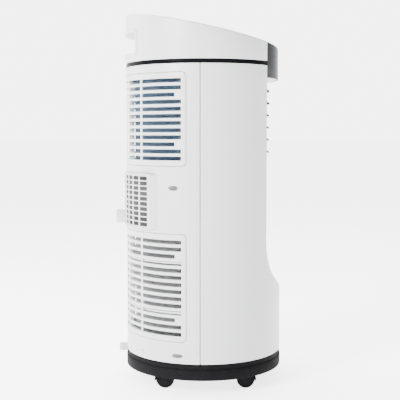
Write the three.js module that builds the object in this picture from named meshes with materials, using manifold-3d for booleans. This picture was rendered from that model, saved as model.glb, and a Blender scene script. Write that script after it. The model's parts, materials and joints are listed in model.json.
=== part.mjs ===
// Portable air conditioner on four casters, in millimetres.
// X runs from the back (-X) to the front (+X), Y across, and Z up from the floor.
// The casing is an upright oval tube. The body's own axis is X = 0, Y = 0 in every function below;
// the last lines move the whole model so that its origin is under the middle of its box.

import * as THREE from 'three';
import { mergeVertices } from 'three/addons/utils/BufferGeometryUtils.js';
import Module from 'manifold-3d';

const wasm = await Module();
wasm.setup();

// ---- Driving dimensions -------------------------------------------------------------------------

// Casing, as an upright oval
const BODY_DEPTH = 287;
const BODY_WIDTH = 313;
const WALL = 3;
const SEAM_X = -5.7;
const SHELL_GAP = 0.6;
const FIT = 0.4;
const BODY_FACETS = 32;
const CORNER_FACETS = 2;

// Heights of the casing, from the floor up, as a chain of lengths
const BASE_SKIRT_HEIGHT = 18.7;
const BASE_BAND_HEIGHT = 9.6;
const BELOW_LOWER_GRILLE = 38;
const ABOVE_LOWER_GRILLE = 5.8;
const BOSS_HEIGHT = 98.2;
const BELOW_UPPER_GRILLE = 13.2;
const ABOVE_UPPER_GRILLE = 15.2;
const RING_HEIGHT = 6.6;
const HEAD_RISE = 58.7;
const HEAD_SLOPE = THREE.MathUtils.degToRad(12.16);

// Base
const SKIRT_PROUD = 0.8;
const BAND_INSET = 1.2;
const SKIRT_WALL = 3;
const BASE_DECK_THICKNESS = 3;
const BASE_DECK_DROP = 3;

// Intake grilles on the back, which wrap round to both sides
const GRILLE_FROM_SEAM = 24.2;
const GRILLE_CORNER = 8.5;
const GRILLE_GAP = 0.6;
const GRILLE_THICKNESS = 3;
const SLOT_HEIGHT = 6.9;
const GRILLE_EDGE = 10.5;
const SLOT_SIDE_MARGIN = 9.3;
const TAB_WIDTH = 11.3;
const UPPER_SLOTS = 12;
const LOWER_SLOTS = 14;
const UPPER_SLOT_PITCH = 12.2;
const LOWER_SLOT_PITCH = 12.4;
const RIB_WIDTH = 5.2;
const RIB_SPACING = 49.4;
const RIBS_EACH_SIDE = 2;
const SHORT_SLOT_FROM_END = 2;

// Filters clipped behind the grilles
const FILTER_GAP = 1;
const FILTER_THICKNESS = 3;
const FILTER_BAR = 4;
const FILTER_ROWS = 3;
const FILTER_COLUMNS = 4;

// Exhaust outlet on the back
const BOSS_NEAR_SIDE = 128.7;
const BOSS_FAR_SIDE = 6;
const BOSS_PROUD = 4.7;
const BOSS_FACE_RADIUS = 185;
const BOSS_CORNER = 6;
const BOSS_WALL = 2.6;
const BOSS_INNER_GAP = 6.11;
const GRID_ROWS = 10;
const GRID_COLUMNS = 6;
const GRID_RIB = 2;
const GRID_POST = 3;
const GRID_THICKNESS = 3;

// Drains: the upper one is placed above the exhaust's lower edge, the lower one above the base
const UPPER_DRAIN = { y: 24, above: 11.6, cap: 12.9, spout: 8.6, bore: 6, reach: 21.7 };
const LOWER_DRAIN = { y: 0, above: -1.8, cap: 7.7, spout: 4.6, bore: 3, reach: 14.9 };
const DRAIN_COLLAR = 6.4;
const DRAIN_END_WALL = 2;
const DRAIN_FROM_COIL = 3;
const CAP_PLAY = 0.3;

// Cord gland
const GLAND_Y = 100;
const GLAND_BELOW_BOSS_TOP = 70;
const GLAND_RADIUS = 8;
const GLAND_FLANGE_RADIUS = 11;
const GLAND_FLANGE = 2.4;
const GLAND_BORE = 3.6;
const GLAND_FROM_SURFACE = 1;

// Screws that pull the two covers together: the upper pair stands above the exhaust's lower edge,
// the lower pair above the base
const UPPER_SCREW = { above: 73.9, radius: 4.15, length: 16.8, fromSeam: 39.2 };
const LOWER_SCREW = { above: 14.1, radius: 3.5, length: 25.7, fromSeam: 23.9 };
const SCREW_SHANK = 1.6;
const SCREW_HEAD_HEIGHT = 2.2;
const SCREW_PLAY = 0.4;
const SCREW_BITE = 10;
const SCREW_BOSS_WALL = 2.4;
const SCREW_TIP_GAP = 2;

// Front: scoop, outlet, louvres and visor
const SCOOP_DEPTH = 31.5;
const SCOOP_RADIUS = 147;
const FOOT_HEIGHT = 116.3;
const VISOR_DROP = 22.3;
const VISOR_REACH = 26.5;
const VISOR_SIDE_STEP = 0.65;
const VISOR_WALL = 2.4;
const OUTLET_BELOW_VISOR = 1;
const OUTLET_SIDE_MARGIN = 9.84;
const OUTLET_CORNER = 3.5;
const OUTLET_WALL = 2.5;
const OUTLET_DEPTH = 33;
const LOUVRES = 6;
const LOUVRE_PITCH = 21.7;
const LOUVRE_TOP_MARGIN = 10.6;
const LOUVRE_BOTTOM_MARGIN = 21;
const LOUVRE_FRONT = 18.4;
const LOUVRE_BACK = 5;
const LOUVRE_THICKNESS = 2.6;
const LOUVRE_SLOPE = THREE.MathUtils.degToRad(31);
const PIVOT_DEPTH = 11;
const JOURNAL_RADIUS = 1.6;
const JOURNAL_PLAY = 0.4;
const CRANK_RADIUS = 8.4;
const CRANK_PIN = 1.2;
const TIE_BAR_WIDTH = 3.6;
const TIE_BAR_THICKNESS = 2;
const TIE_BAR_CORNER = 1.6;
const TIE_BAR_SIDE_GAP = 0.4;
const LOUVRE_MOTOR_RADIUS = 10;
const LOUVRE_MOTOR_LENGTH = 9;
const LOUVRE_MOTOR_OFFSET = 7;

// Head: handle and controls
const HANDLE_BOTTOM = 12.2;
const HANDLE_HEIGHT = 42.9;
const HANDLE_HALF_WIDTH = 87.6;
const HANDLE_CORNER = 8;
const HANDLE_DEPTH = 30.5;
const HANDLE_LIP = 1.2;
const HANDLE_WALL = 2;
const PANEL_LENGTH = 40;
const PANEL_WIDTH = 132;
const PANEL_FROM_FACE = 8;
const PANEL_CORNER = 10;
const PANEL_THICKNESS = 2.4;
const BUTTON_NAMES = ['power', 'mode', 'speed', 'timer', 'cooler', 'warmer'];
const BUTTON_RADIUS = 6;
const BUTTON_SPACING = 19;
const BUTTON_PROUD = 1.2;
const BUTTON_PLAY = 0.3;
const BUTTON_FLANGE = 1.3;
const BUTTON_FLANGE_THICKNESS = 1;
const BUTTON_EDGE = 0.5;

// Casters
const WHEEL_RADIUS = 16.3;
const WHEEL_FACETS = 20;
const WHEEL_HALF_WIDTH = 9;
const WHEEL_WEB_GAP = 3;
const AXLE_RADIUS = 2.4;
const CASTER_TRAIL = 6;
const BACK_CASTER = { clearance: 6.43, angle: THREE.MathUtils.degToRad(130.61) };
const FRONT_CASTER = { clearance: 1.7, angle: THREE.MathUtils.degToRad(47.06) };
const HOOD_GAP = 1.2;
const HOOD_WALL = 1.6;
const HOOD_BELOW_DECK = 3.4;
const HOOD_PAST_AXLE = 3.5;
const EYE_RADIUS = 6.2;
const STEM_RADIUS = 4;
const STEM_PLAY = 0.4;
const STEM_ABOVE_DECK = 6;

// Machinery inside
const COIL_BEHIND_FILTER = 9;
const COIL_THICKNESS = 22;
const COIL_FROM_GRILLE_FRONT = 15.1;
const DECK_THICKNESS = 3;
const DECK_RIM = 5;
const DECK_BELOW_GRILLE = 9.5;
const FAN_HOUSING_WALL = 2.4;
const FAN_FROM_BACK = 83.5;
const FAN_HALF_WIDTH = 84;
const FAN_WHEEL_RADIUS = 68;
const FAN_WHEEL_DEPTH = 28;
const FAN_BLADES = 11;
const FAN_BLADE_THICKNESS = 1.6;
const FAN_BLADE_DEPTH = 12;
const FAN_INLET_RADIUS = 54;
const FAN_SIDE_GAP = 4;
const SHAFT_RADIUS = 3;
const FAN_PLATE = 2;
const FAN_BLADE_TURN = THREE.MathUtils.degToRad(30);
const HUB_BACK = 6;
const MOTOR_RADIUS = 30;
const MOTOR_LENGTH = 24;
const LOWER_FAN_ABOVE_DECK = 118;
const LOWER_FAN_HALF_HEIGHT = 96;
const COMPRESSOR_RADIUS = 46;
const COMPRESSOR_HEIGHT = 170;
const COMPRESSOR_GAP = 6;
const COMPRESSOR_FOOT = 4;
const COMPRESSOR_DOME = 18;
const CONTROL_BOX_LENGTH = 70;
const CONTROL_BOX_HALF_WIDTH = 60;
const CONTROL_BOX_HEIGHT = 20;
const CONTROL_BOX_BACK = 10;

// ---- Sizes worked out from them -----------------------------------------------------------------

const HALF_DEPTH = BODY_DEPTH / 2;
const HALF_WIDTH = BODY_WIDTH / 2;
const REACH = BODY_DEPTH + BODY_WIDTH;
const AXLE_Z = WHEEL_RADIUS * Math.cos(Math.PI / WHEEL_FACETS);
const HOOD_TOP = AXLE_Z + WHEEL_RADIUS + HOOD_GAP + HOOD_WALL;
const DECK_UNDERSIDE = HOOD_TOP + HOOD_BELOW_DECK;
const FLOOR_GAP = DECK_UNDERSIDE + BASE_DECK_THICKNESS + BASE_DECK_DROP - BASE_SKIRT_HEIGHT;
const SKIRT_TOP = FLOOR_GAP + BASE_SKIRT_HEIGHT;
const BASE_TOP = SKIRT_TOP + BASE_BAND_HEIGHT;
const DECK_TOP = SKIRT_TOP - BASE_DECK_DROP;
const LOWER_GRILLE_BOTTOM = BASE_TOP + BELOW_LOWER_GRILLE;
const LOWER_GRILLE_TOP = LOWER_GRILLE_BOTTOM + grilleHeight(LOWER_SLOTS, LOWER_SLOT_PITCH);
const BOSS_BOTTOM = LOWER_GRILLE_TOP + ABOVE_LOWER_GRILLE;
const BOSS_TOP = BOSS_BOTTOM + BOSS_HEIGHT;
const UPPER_GRILLE_BOTTOM = BOSS_TOP + BELOW_UPPER_GRILLE;
const UPPER_GRILLE_TOP = UPPER_GRILLE_BOTTOM + grilleHeight(UPPER_SLOTS, UPPER_SLOT_PITCH);
const RING_BOTTOM = UPPER_GRILLE_TOP + ABOVE_UPPER_GRILLE;
const RING_TOP = RING_BOTTOM + RING_HEIGHT;
const HEAD_HEIGHT = RING_TOP + HEAD_RISE;
const GRILLE_FRONT_X = SEAM_X - GRILLE_FROM_SEAM;
const FACE_X = HALF_DEPTH - SCOOP_DEPTH;
const FACE_HALF_WIDTH = HALF_WIDTH * Math.sqrt(1 - (FACE_X / HALF_DEPTH) ** 2);
const OUTLET_HALF_WIDTH = FACE_HALF_WIDTH - OUTLET_SIDE_MARGIN;
const VISOR_HALF_WIDTH = FACE_HALF_WIDTH - VISOR_SIDE_STEP;
const VISOR_RISE = VISOR_REACH - FIT;
const VISOR_RADIUS = (VISOR_HALF_WIDTH ** 2 + VISOR_RISE ** 2) / (2 * VISOR_RISE);
const BOSS_INNER_X = backSurfaceX(BOSS_NEAR_SIDE - BOSS_WALL, WALL) + BOSS_INNER_GAP;
const FOOT_TOP = BASE_TOP + FOOT_HEIGHT;
const SCOOP_TOP = FOOT_TOP + Math.sqrt(SCOOP_RADIUS ** 2 - (SCOOP_RADIUS - SCOOP_DEPTH) ** 2);
const VISOR_BOTTOM = RING_BOTTOM - VISOR_DROP;
const OUTLET_TOP = VISOR_BOTTOM - OUTLET_BELOW_VISOR;
const FIRST_PIVOT_Z = OUTLET_TOP - OUTLET_WALL - LOUVRE_TOP_MARGIN;
const LAST_PIVOT_Z = FIRST_PIVOT_Z - (LOUVRES - 1) * LOUVRE_PITCH;
const OUTLET_BOTTOM = LAST_PIVOT_Z - LOUVRE_BOTTOM_MARGIN;
const PIVOT_X = FACE_X - PIVOT_DEPTH;
const OUTLET_INNER_WIDTH = OUTLET_HALF_WIDTH - OUTLET_WALL;
const LOUVRE_HALF_LENGTH = OUTLET_INNER_WIDTH - TIE_BAR_THICKNESS - 2 * TIE_BAR_SIDE_GAP;
const FILTER_INSET = GRILLE_THICKNESS + FILTER_GAP;
const COIL_INSET = FILTER_INSET + FILTER_THICKNESS + COIL_BEHIND_FILTER;
const COIL_FRONT_X = GRILLE_FRONT_X - COIL_FROM_GRILLE_FRONT;
const FAN_BACK_X = -HALF_DEPTH + FAN_FROM_BACK;
const UPPER_DECK_TOP = UPPER_GRILLE_BOTTOM - DECK_BELOW_GRILLE + DECK_THICKNESS;
const UPPER_FAN_BOTTOM = UPPER_DECK_TOP + FIT;
const UPPER_FAN_TOP = OUTLET_TOP;
const UPPER_FAN_Z = (UPPER_FAN_BOTTOM + UPPER_FAN_TOP) / 2;
const LOWER_FAN_Z = DECK_TOP + LOWER_FAN_ABOVE_DECK;
const FAN_WHEEL_BACK_X = FAN_BACK_X + FAN_HOUSING_WALL + FAN_SIDE_GAP;
const MOTOR_PLATE_X = FAN_WHEEL_BACK_X + FAN_WHEEL_DEPTH + FAN_SIDE_GAP;
const MOTOR_BACK_X = MOTOR_PLATE_X + FAN_HOUSING_WALL + FIT;

// ---- Finishes -----------------------------------------------------------------------------------

function finish(color, roughness, metalness = 0) {
  return new THREE.MeshStandardMaterial({ color, roughness, metalness });
}

const whitePlastic = () => finish(0xf0f0ee, 0.42);
const blackPlastic = () => finish(0x2c2d2f, 0.55);
const glossBlack = () => finish(0x151618, 0.12);
const smokedPlastic = () => finish(0x3c3e42, 0.15);
const darkGreyPlastic = () => finish(0x4a4b4e, 0.5);
const greyPlastic = () => finish(0x8c8e90, 0.5);
const blueFins = () => finish(0x5f7da0, 0.4, 0.6);
const bareFins = () => finish(0x9aa0a4, 0.4, 0.7);
const zincSteel = () => finish(0xa6a8aa, 0.35, 0.9);
const blackSteel = () => finish(0x1d1e20, 0.45, 0.3);

// ---- Solids from three.js shapes ----------------------------------------------------------------

// Joins a geometry's shared vertices, drops the slivers at its poles and turns its faces outwards.
function solid(geometry) {
  const bare = geometry.clone();
  bare.deleteAttribute('normal');
  bare.deleteAttribute('uv');
  const merged = mergeVertices(bare, 1e-4);
  const points = merged.attributes.position;
  const triangles = [];
  let volume = 0;
  for (let start = 0; start < merged.index.count; start += 3) {
    const corners = [0, 1, 2].map((step) => merged.index.getX(start + step));
    if (new Set(corners).size < 3) continue;
    const [a, b, c] = corners.map((corner) => new THREE.Vector3().fromBufferAttribute(points, corner));
    volume += a.dot(b.cross(c));
    triangles.push(corners);
  }
  const facing = triangles.map(([a, b, c]) => (volume < 0 ? [a, c, b] : [a, b, c]));
  const vertProperties = new Float32Array(points.array);
  const triVerts = new Uint32Array(facing.flat());
  return new wasm.Manifold(new wasm.Mesh({ numProp: 3, vertProperties, triVerts }));
}

function piece(name, shape, material) {
  const { vertProperties, triVerts } = shape.getMesh();
  const geometry = new THREE.BufferGeometry();
  geometry.setAttribute('position', new THREE.BufferAttribute(vertProperties, 3));
  geometry.setIndex(new THREE.BufferAttribute(triVerts, 1));
  geometry.computeVertexNormals();
  const mesh = new THREE.Mesh(geometry, material);
  mesh.name = name;
  return mesh;
}

function extruded(shape, depth, curveSegments = CORNER_FACETS) {
  return new THREE.ExtrudeGeometry(shape, { depth, bevelEnabled: false, curveSegments });
}

// A shape drawn in X and Z, extruded across the body from y = left to y = right.
function across(shape, left = -REACH, right = REACH, facets = CORNER_FACETS) {
  const geometry = extruded(shape, right - left, facets);
  geometry.translate(0, 0, -right);
  geometry.rotateX(Math.PI / 2);
  return solid(geometry);
}

// A shape drawn in Y and Z, extruded along the body from x = back to x = front.
function lengthways(shape, back, front) {
  const geometry = extruded(shape, front - back);
  const turn = new THREE.Matrix4().makeBasis(
    new THREE.Vector3(0, 1, 0),
    new THREE.Vector3(0, 0, 1),
    new THREE.Vector3(1, 0, 0),
  );
  geometry.applyMatrix4(turn);
  geometry.translate(back, 0, 0);
  return solid(geometry);
}

function box([x0, x1], [y0, y1], [z0, z1]) {
  const geometry = new THREE.BoxGeometry(x1 - x0, y1 - y0, z1 - z0);
  geometry.translate((x0 + x1) / 2, (y0 + y1) / 2, (z0 + z1) / 2);
  return solid(geometry);
}

// A round bar along one axis, between two places on it, through a point given by the other two.
function bar(axis, radius, [from, to], [x, y, z], facets = 12) {
  const geometry = new THREE.CylinderGeometry(radius, radius, to - from, facets);
  geometry.rotateY(Math.PI / facets);
  if (axis === 'x') geometry.rotateZ(-Math.PI / 2);
  if (axis === 'z') geometry.rotateX(Math.PI / 2);
  const middle = (from + to) / 2;
  geometry.translate(axis === 'x' ? middle : x, axis === 'y' ? middle : y, axis === 'z' ? middle : z);
  return solid(geometry);
}

// A turned piece. The outline gives [radius, height] pairs, and the turning axis is Z.
function turned(outline, facets = 24) {
  const points = outline.map(([radius, height]) => new THREE.Vector2(radius, height));
  const geometry = new THREE.LatheGeometry(points, facets);
  geometry.rotateX(Math.PI / 2);
  return solid(geometry);
}

function rectangle([left, right], [bottom, top], corner) {
  const shape = new THREE.Shape();
  shape.absarc(right - corner, bottom + corner, corner, -Math.PI / 2, 0, false);
  shape.absarc(right - corner, top - corner, corner, 0, Math.PI / 2, false);
  shape.absarc(left + corner, top - corner, corner, Math.PI / 2, Math.PI, false);
  shape.absarc(left + corner, bottom + corner, corner, Math.PI, 1.5 * Math.PI, false);
  return shape;
}

// ---- The body's outline -------------------------------------------------------------------------

function oval(inset, bottom, top) {
  const shape = new THREE.Shape();
  shape.absellipse(0, 0, HALF_DEPTH - inset, HALF_WIDTH - inset, 0, 2 * Math.PI, false, 0);
  const geometry = extruded(shape, top - bottom, BODY_FACETS / 2);
  geometry.translate(0, 0, bottom);
  return solid(geometry);
}

function ovalRing(outerInset, innerInset, bottom, top) {
  return oval(outerInset, bottom, top).subtract(oval(innerInset, bottom - 1, top + 1));
}

function backSurfaceX(y, inset = 0) {
  return -(HALF_DEPTH - inset) * Math.sqrt(1 - (y / (HALF_WIDTH - inset)) ** 2);
}

function sideSurfaceY(x, inset = 0) {
  return (HALF_WIDTH - inset) * Math.sqrt(1 - (x / (HALF_DEPTH - inset)) ** 2);
}

function grilleHeight(slots, pitch) {
  return 2 * GRILLE_EDGE + (slots - 1) * pitch + SLOT_HEIGHT;
}

const behind = (x) => box([-REACH, x], [-REACH, REACH], [-REACH, 2 * REACH]);
const ahead = (x) => box([x, REACH], [-REACH, REACH], [-REACH, 2 * REACH]);

// Everything behind the front of the casing: the foot, the hollow sweep above it and the flat face.
function behindScoop(inset) {
  const shape = new THREE.Shape();
  const sweepX = FACE_X + SCOOP_RADIUS;
  const radius = SCOOP_RADIUS + inset;
  const start = Math.acos((SCOOP_RADIUS - SCOOP_DEPTH + inset) / radius);
  shape.moveTo(-REACH, 0);
  shape.lineTo(HALF_DEPTH - inset, 0);
  shape.absarc(sweepX, SCOOP_TOP, radius, Math.PI + start, Math.PI, true);
  shape.lineTo(FACE_X - inset, 2 * REACH);
  shape.lineTo(-REACH, 2 * REACH);
  return across(shape, -REACH, REACH, 5);
}

const slopeZ = (x, inset = 0) => HEAD_HEIGHT - inset / Math.cos(HEAD_SLOPE) - Math.tan(HEAD_SLOPE) * x;

function belowSlope(inset) {
  const shape = new THREE.Shape();
  shape.moveTo(-REACH, 0);
  shape.lineTo(REACH, 0);
  shape.lineTo(REACH, slopeZ(REACH, inset));
  shape.lineTo(-REACH, slopeZ(-REACH, inset));
  return across(shape);
}

// ---- Screws and their sunk seats ----------------------------------------------------------------

const seatX = (screw) => SEAM_X - screw.fromSeam;
const screwY = (screw) => sideSurfaceY(seatX(screw) - screw.length) + screw.radius;

function screwHousing(screw, side, [back, front]) {
  const half = screw.radius + SCREW_BOSS_WALL;
  const inner = screwY(screw) - half;
  const span = [inner, HALF_WIDTH].map((y) => side * y).sort((a, b) => a - b);
  return box([back, front], span, [screw.z - half, screw.z + half]).intersect(oval(WALL / 2, 0, RING_TOP));
}

function screwSeat(screw, side) {
  const at = [0, side * screwY(screw), screw.z];
  const sink = bar('x', screw.radius, [-REACH, seatX(screw)], at);
  return sink.add(bar('x', SCREW_SHANK + SCREW_PLAY, [seatX(screw) - 1, SEAM_X + 1], at));
}

const upperScrew = { ...UPPER_SCREW, z: BOSS_BOTTOM + UPPER_SCREW.above };
const lowerScrew = { ...LOWER_SCREW, z: BASE_TOP + LOWER_SCREW.above };
const SCREW_PLACES = [
  ['upper_left', upperScrew, -1],
  ['upper_right', upperScrew, 1],
  ['lower_left', lowerScrew, -1],
  ['lower_right', lowerScrew, 1],
];

function coverScrew(name, screw, side) {
  const head = screw.radius - SCREW_PLAY;
  const length = screw.fromSeam + SCREW_BITE - SCREW_TIP_GAP;
  const body = turned([
    [0, -SCREW_HEAD_HEIGHT],
    [head * 0.8, -SCREW_HEAD_HEIGHT],
    [head, -SCREW_HEAD_HEIGHT / 2],
    [head, 0],
    [SCREW_SHANK, 0],
    [SCREW_SHANK, length - SCREW_SHANK],
    [0, length],
  ], 12);
  const mesh = piece(`cover_screw_${name}`, body, zincSteel());
  mesh.rotation.y = Math.PI / 2;
  mesh.position.set(seatX(screw) - SCREW_PLAY, side * screwY(screw), screw.z);
  return mesh;
}

// ---- Base ---------------------------------------------------------------------------------------

function lowerDrainHole() {
  const at = [0, LOWER_DRAIN.y, drainZ(LOWER_DRAIN)];
  return bar('x', LOWER_DRAIN.spout + FIT, [-REACH, 0], at);
}

function basePan() {
  let pan = ovalRing(-SKIRT_PROUD, SKIRT_WALL, FLOOR_GAP, SKIRT_TOP);
  pan = pan.add(ovalRing(BAND_INSET, BAND_INSET + SKIRT_WALL, SKIRT_TOP - 1, BASE_TOP));
  pan = pan.add(oval(1, DECK_TOP - BASE_DECK_THICKNESS, DECK_TOP));
  for (const { stemX, y } of casterPlaces()) {
    pan = pan.subtract(bar('z', STEM_RADIUS + STEM_PLAY, [0, BASE_TOP], [stemX, y, 0]));
  }
  return piece('base_pan', pan.subtract(lowerDrainHole()), blackPlastic());
}

// ---- Covers -------------------------------------------------------------------------------------

const COVER_BOTTOM = BASE_TOP + FIT;
const COVER_TOP = RING_BOTTOM - FIT;

// The opening for a grille, cut across the whole width behind its front edge.
function grilleWindow(bottom, top, inset) {
  const left = -REACH;
  const right = GRILLE_FRONT_X - inset;
  return across(rectangle([left, right], [bottom + inset, top - inset], GRILLE_CORNER - inset));
}

function bossOutline(inset) {
  const sides = [-BOSS_NEAR_SIDE + inset, BOSS_FAR_SIDE - inset];
  const corner = Math.max(BOSS_CORNER - inset, 1);
  return rectangle(sides, [BOSS_BOTTOM + inset, BOSS_TOP - inset], corner);
}

const drainZ = (drain) => (drain === UPPER_DRAIN ? BOSS_BOTTOM : BASE_TOP) + drain.above;

function glandPlace() {
  const x = backSurfaceX(GLAND_Y);
  const turn = Math.atan2(GLAND_Y / HALF_WIDTH ** 2, x / HALF_DEPTH ** 2);
  return { x, y: GLAND_Y, z: BOSS_TOP - GLAND_BELOW_BOSS_TOP, turn };
}

// A body drawn along +Z from the casing's surface is laid along the surface's outward normal.
function glandBar(radius, [from, to]) {
  const place = glandPlace();
  const geometry = new THREE.CylinderGeometry(radius, radius, to - from, 12);
  geometry.translate(0, (from + to) / 2, 0);
  geometry.rotateZ(place.turn - Math.PI / 2);
  geometry.translate(place.x, place.y, place.z);
  return solid(geometry);
}

function rearCover() {
  const half = ovalRing(0, WALL, COVER_BOTTOM, COVER_TOP);
  let cover = half.intersect(behind(SEAM_X - SHELL_GAP));
  for (const [, screw, side] of SCREW_PLACES) {
    const back = seatX(screw) - screw.length - SCREW_BOSS_WALL;
    cover = cover.add(screwHousing(screw, side, [back, SEAM_X - SHELL_GAP]));
    cover = cover.subtract(screwSeat(screw, side));
  }
  cover = cover.subtract(grilleWindow(LOWER_GRILLE_BOTTOM, LOWER_GRILLE_TOP, 0));
  cover = cover.subtract(grilleWindow(UPPER_GRILLE_BOTTOM, UPPER_GRILLE_TOP, 0));
  cover = cover.subtract(lengthways(bossOutline(-FIT), -REACH, 0));
  const drainAt = [0, UPPER_DRAIN.y, drainZ(UPPER_DRAIN)];
  cover = cover.subtract(bar('x', UPPER_DRAIN.spout + FIT, [-REACH, 0], drainAt));
  cover = cover.subtract(lowerDrainHole());
  cover = cover.subtract(glandBar(GLAND_RADIUS + FIT, [-2 * WALL, 2 * WALL]));
  return piece('rear_cover', cover, whitePlastic());
}

function outletOutline(inset) {
  const sides = [-OUTLET_HALF_WIDTH + inset, OUTLET_HALF_WIDTH - inset];
  return rectangle(sides, [OUTLET_BOTTOM + inset, OUTLET_TOP - inset], OUTLET_CORNER - inset / 2);
}

function frontCover() {
  const outer = oval(0, COVER_BOTTOM, COVER_TOP).intersect(behindScoop(0));
  const inner = oval(WALL, 0, RING_TOP).intersect(behindScoop(WALL));
  let cover = outer.subtract(inner).intersect(ahead(SEAM_X));
  for (const [, screw, side] of SCREW_PLACES) {
    cover = cover.add(screwHousing(screw, side, [SEAM_X, SEAM_X + SCREW_BITE + SCREW_BOSS_WALL]));
    const at = [0, side * screwY(screw), screw.z];
    cover = cover.subtract(bar('x', SCREW_SHANK + SCREW_PLAY, [SEAM_X - 1, SEAM_X + SCREW_BITE], at));
  }
  cover = cover.subtract(lengthways(outletOutline(-FIT), 0, REACH));
  return piece('front_cover', cover, whitePlastic());
}

function trimRing() {
  const outer = oval(0, RING_BOTTOM, RING_TOP).intersect(behind(FACE_X));
  const inner = oval(WALL + 1, 0, HEAD_HEIGHT).intersect(behind(FACE_X - WALL - 1));
  return piece('trim_ring', outer.subtract(inner), glossBlack());
}

// ---- Head ---------------------------------------------------------------------------------------

const PANEL_X = FACE_X - PANEL_FROM_FACE - PANEL_LENGTH / 2;

// Lays what is drawn about the panel's centre, with +Z along its outward normal, onto the slope.
function onSlope(object) {
  object.rotation.y = HEAD_SLOPE;
  object.position.set(PANEL_X, 0, slopeZ(PANEL_X));
  return object;
}

function slopeSolid(geometry) {
  geometry.rotateY(HEAD_SLOPE);
  geometry.translate(PANEL_X, 0, slopeZ(PANEL_X));
  return solid(geometry);
}

function panelGeometry(grow, bottom, top) {
  const length = PANEL_LENGTH / 2 + grow;
  const width = PANEL_WIDTH / 2 + grow;
  const shape = rectangle([-length, length], [-width, width], PANEL_CORNER + grow);
  const geometry = extruded(shape, top - bottom);
  geometry.translate(0, 0, bottom);
  return geometry;
}

function handleOutline(inset) {
  const bottom = RING_TOP + HANDLE_BOTTOM;
  const sides = [-HANDLE_HALF_WIDTH + inset, HANDLE_HALF_WIDTH - inset];
  return rectangle(sides, [bottom + inset, bottom + HANDLE_HEIGHT - inset], HANDLE_CORNER - inset);
}

const HANDLE_FLOOR_X = -HALF_DEPTH + HANDLE_DEPTH;

function topCover() {
  const limits = (inset) => belowSlope(inset).intersect(behind(FACE_X - inset));
  const outer = oval(0, RING_TOP + FIT, HEAD_HEIGHT + REACH).intersect(limits(0));
  const inner = oval(WALL, 0, HEAD_HEIGHT + REACH).intersect(limits(WALL));
  let cover = outer.subtract(inner);
  cover = cover.subtract(lengthways(handleOutline(-FIT), -REACH, HANDLE_FLOOR_X + HANDLE_WALL + FIT));
  cover = cover.subtract(slopeSolid(panelGeometry(FIT, -WALL - 1, WALL)));
  return piece('top_cover', cover, whitePlastic());
}

function handleCup() {
  const block = lengthways(handleOutline(0), -REACH, HANDLE_FLOOR_X + HANDLE_WALL);
  const hollow = lengthways(handleOutline(HANDLE_WALL), -REACH, HANDLE_FLOOR_X);
  const cup = block.intersect(oval(-HANDLE_LIP, 0, HEAD_HEIGHT + REACH)).subtract(hollow);
  return piece('handle_cup', cup, whitePlastic());
}

const buttonY = (index) => (index - (BUTTON_NAMES.length - 1) / 2) * BUTTON_SPACING;

function controlPanel() {
  const plate = solid(panelGeometry(0, -PANEL_THICKNESS, 0));
  let panel = plate;
  BUTTON_NAMES.forEach((_, index) => {
    const hole = bar('z', BUTTON_RADIUS + BUTTON_PLAY, [-WALL - 1, 1], [0, buttonY(index), 0], 16);
    panel = panel.subtract(hole);
  });
  return onSlope(piece('control_panel', panel, glossBlack()));
}

function button(name, index) {
  const below = -PANEL_THICKNESS - BUTTON_PLAY;
  const wide = BUTTON_RADIUS + BUTTON_FLANGE;
  const body = turned([
    [0, below - BUTTON_FLANGE_THICKNESS],
    [wide, below - BUTTON_FLANGE_THICKNESS],
    [wide, below],
    [BUTTON_RADIUS, below],
    [BUTTON_RADIUS, BUTTON_PROUD - BUTTON_EDGE],
    [BUTTON_RADIUS - BUTTON_EDGE, BUTTON_PROUD],
    [0, BUTTON_PROUD],
  ], 12);
  const mesh = piece(`${name}_button`, body, darkGreyPlastic());
  mesh.position.y = buttonY(index);
  return mesh;
}

function buttonRow() {
  const row = new THREE.Group();
  BUTTON_NAMES.forEach((name, index) => row.add(button(name, index)));
  return onSlope(row);
}

// ---- Visor --------------------------------------------------------------------------------------

function visorBlock(inset, bottom) {
  const shape = new THREE.Shape();
  const centre = FACE_X + VISOR_REACH - VISOR_RADIUS;
  const radius = VISOR_RADIUS - inset;
  const back = FACE_X + FIT;
  const half = Math.acos((back - centre) / radius);
  shape.absarc(centre, 0, radius, -half, half, false);
  const geometry = extruded(shape, HEAD_HEIGHT - bottom, 8);
  geometry.translate(0, 0, bottom);
  return solid(geometry).intersect(belowSlope(inset));
}

function visor() {
  const hollow = visorBlock(VISOR_WALL, 0);
  return piece('visor', visorBlock(0, VISOR_BOTTOM).subtract(hollow), smokedPlastic());
}

function visorFloor() {
  const inside = visorBlock(VISOR_WALL + FIT, VISOR_BOTTOM);
  const layer = box([0, REACH], [-REACH, REACH], [VISOR_BOTTOM, VISOR_BOTTOM + VISOR_WALL]);
  const floor = inside.intersect(layer);
  const back = inside.intersect(behind(FACE_X + FIT + VISOR_WALL));
  return piece('visor_carrier', floor.add(back), whitePlastic());
}

// ---- Outlet and louvres -------------------------------------------------------------------------

const pivotZ = (index) => FIRST_PIVOT_Z - index * LOUVRE_PITCH;

function outletFrame() {
  let frame = lengthways(outletOutline(0), FACE_X - OUTLET_DEPTH, FACE_X);
  frame = frame.subtract(lengthways(outletOutline(OUTLET_WALL), 0, REACH));
  for (let index = 0; index < LOUVRES; index += 1) {
    const at = [PIVOT_X, 0, pivotZ(index)];
    frame = frame.subtract(bar('y', JOURNAL_RADIUS + JOURNAL_PLAY, [-REACH, REACH], at, 8));
  }
  return piece('outlet_frame', frame, darkGreyPlastic());
}

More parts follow.
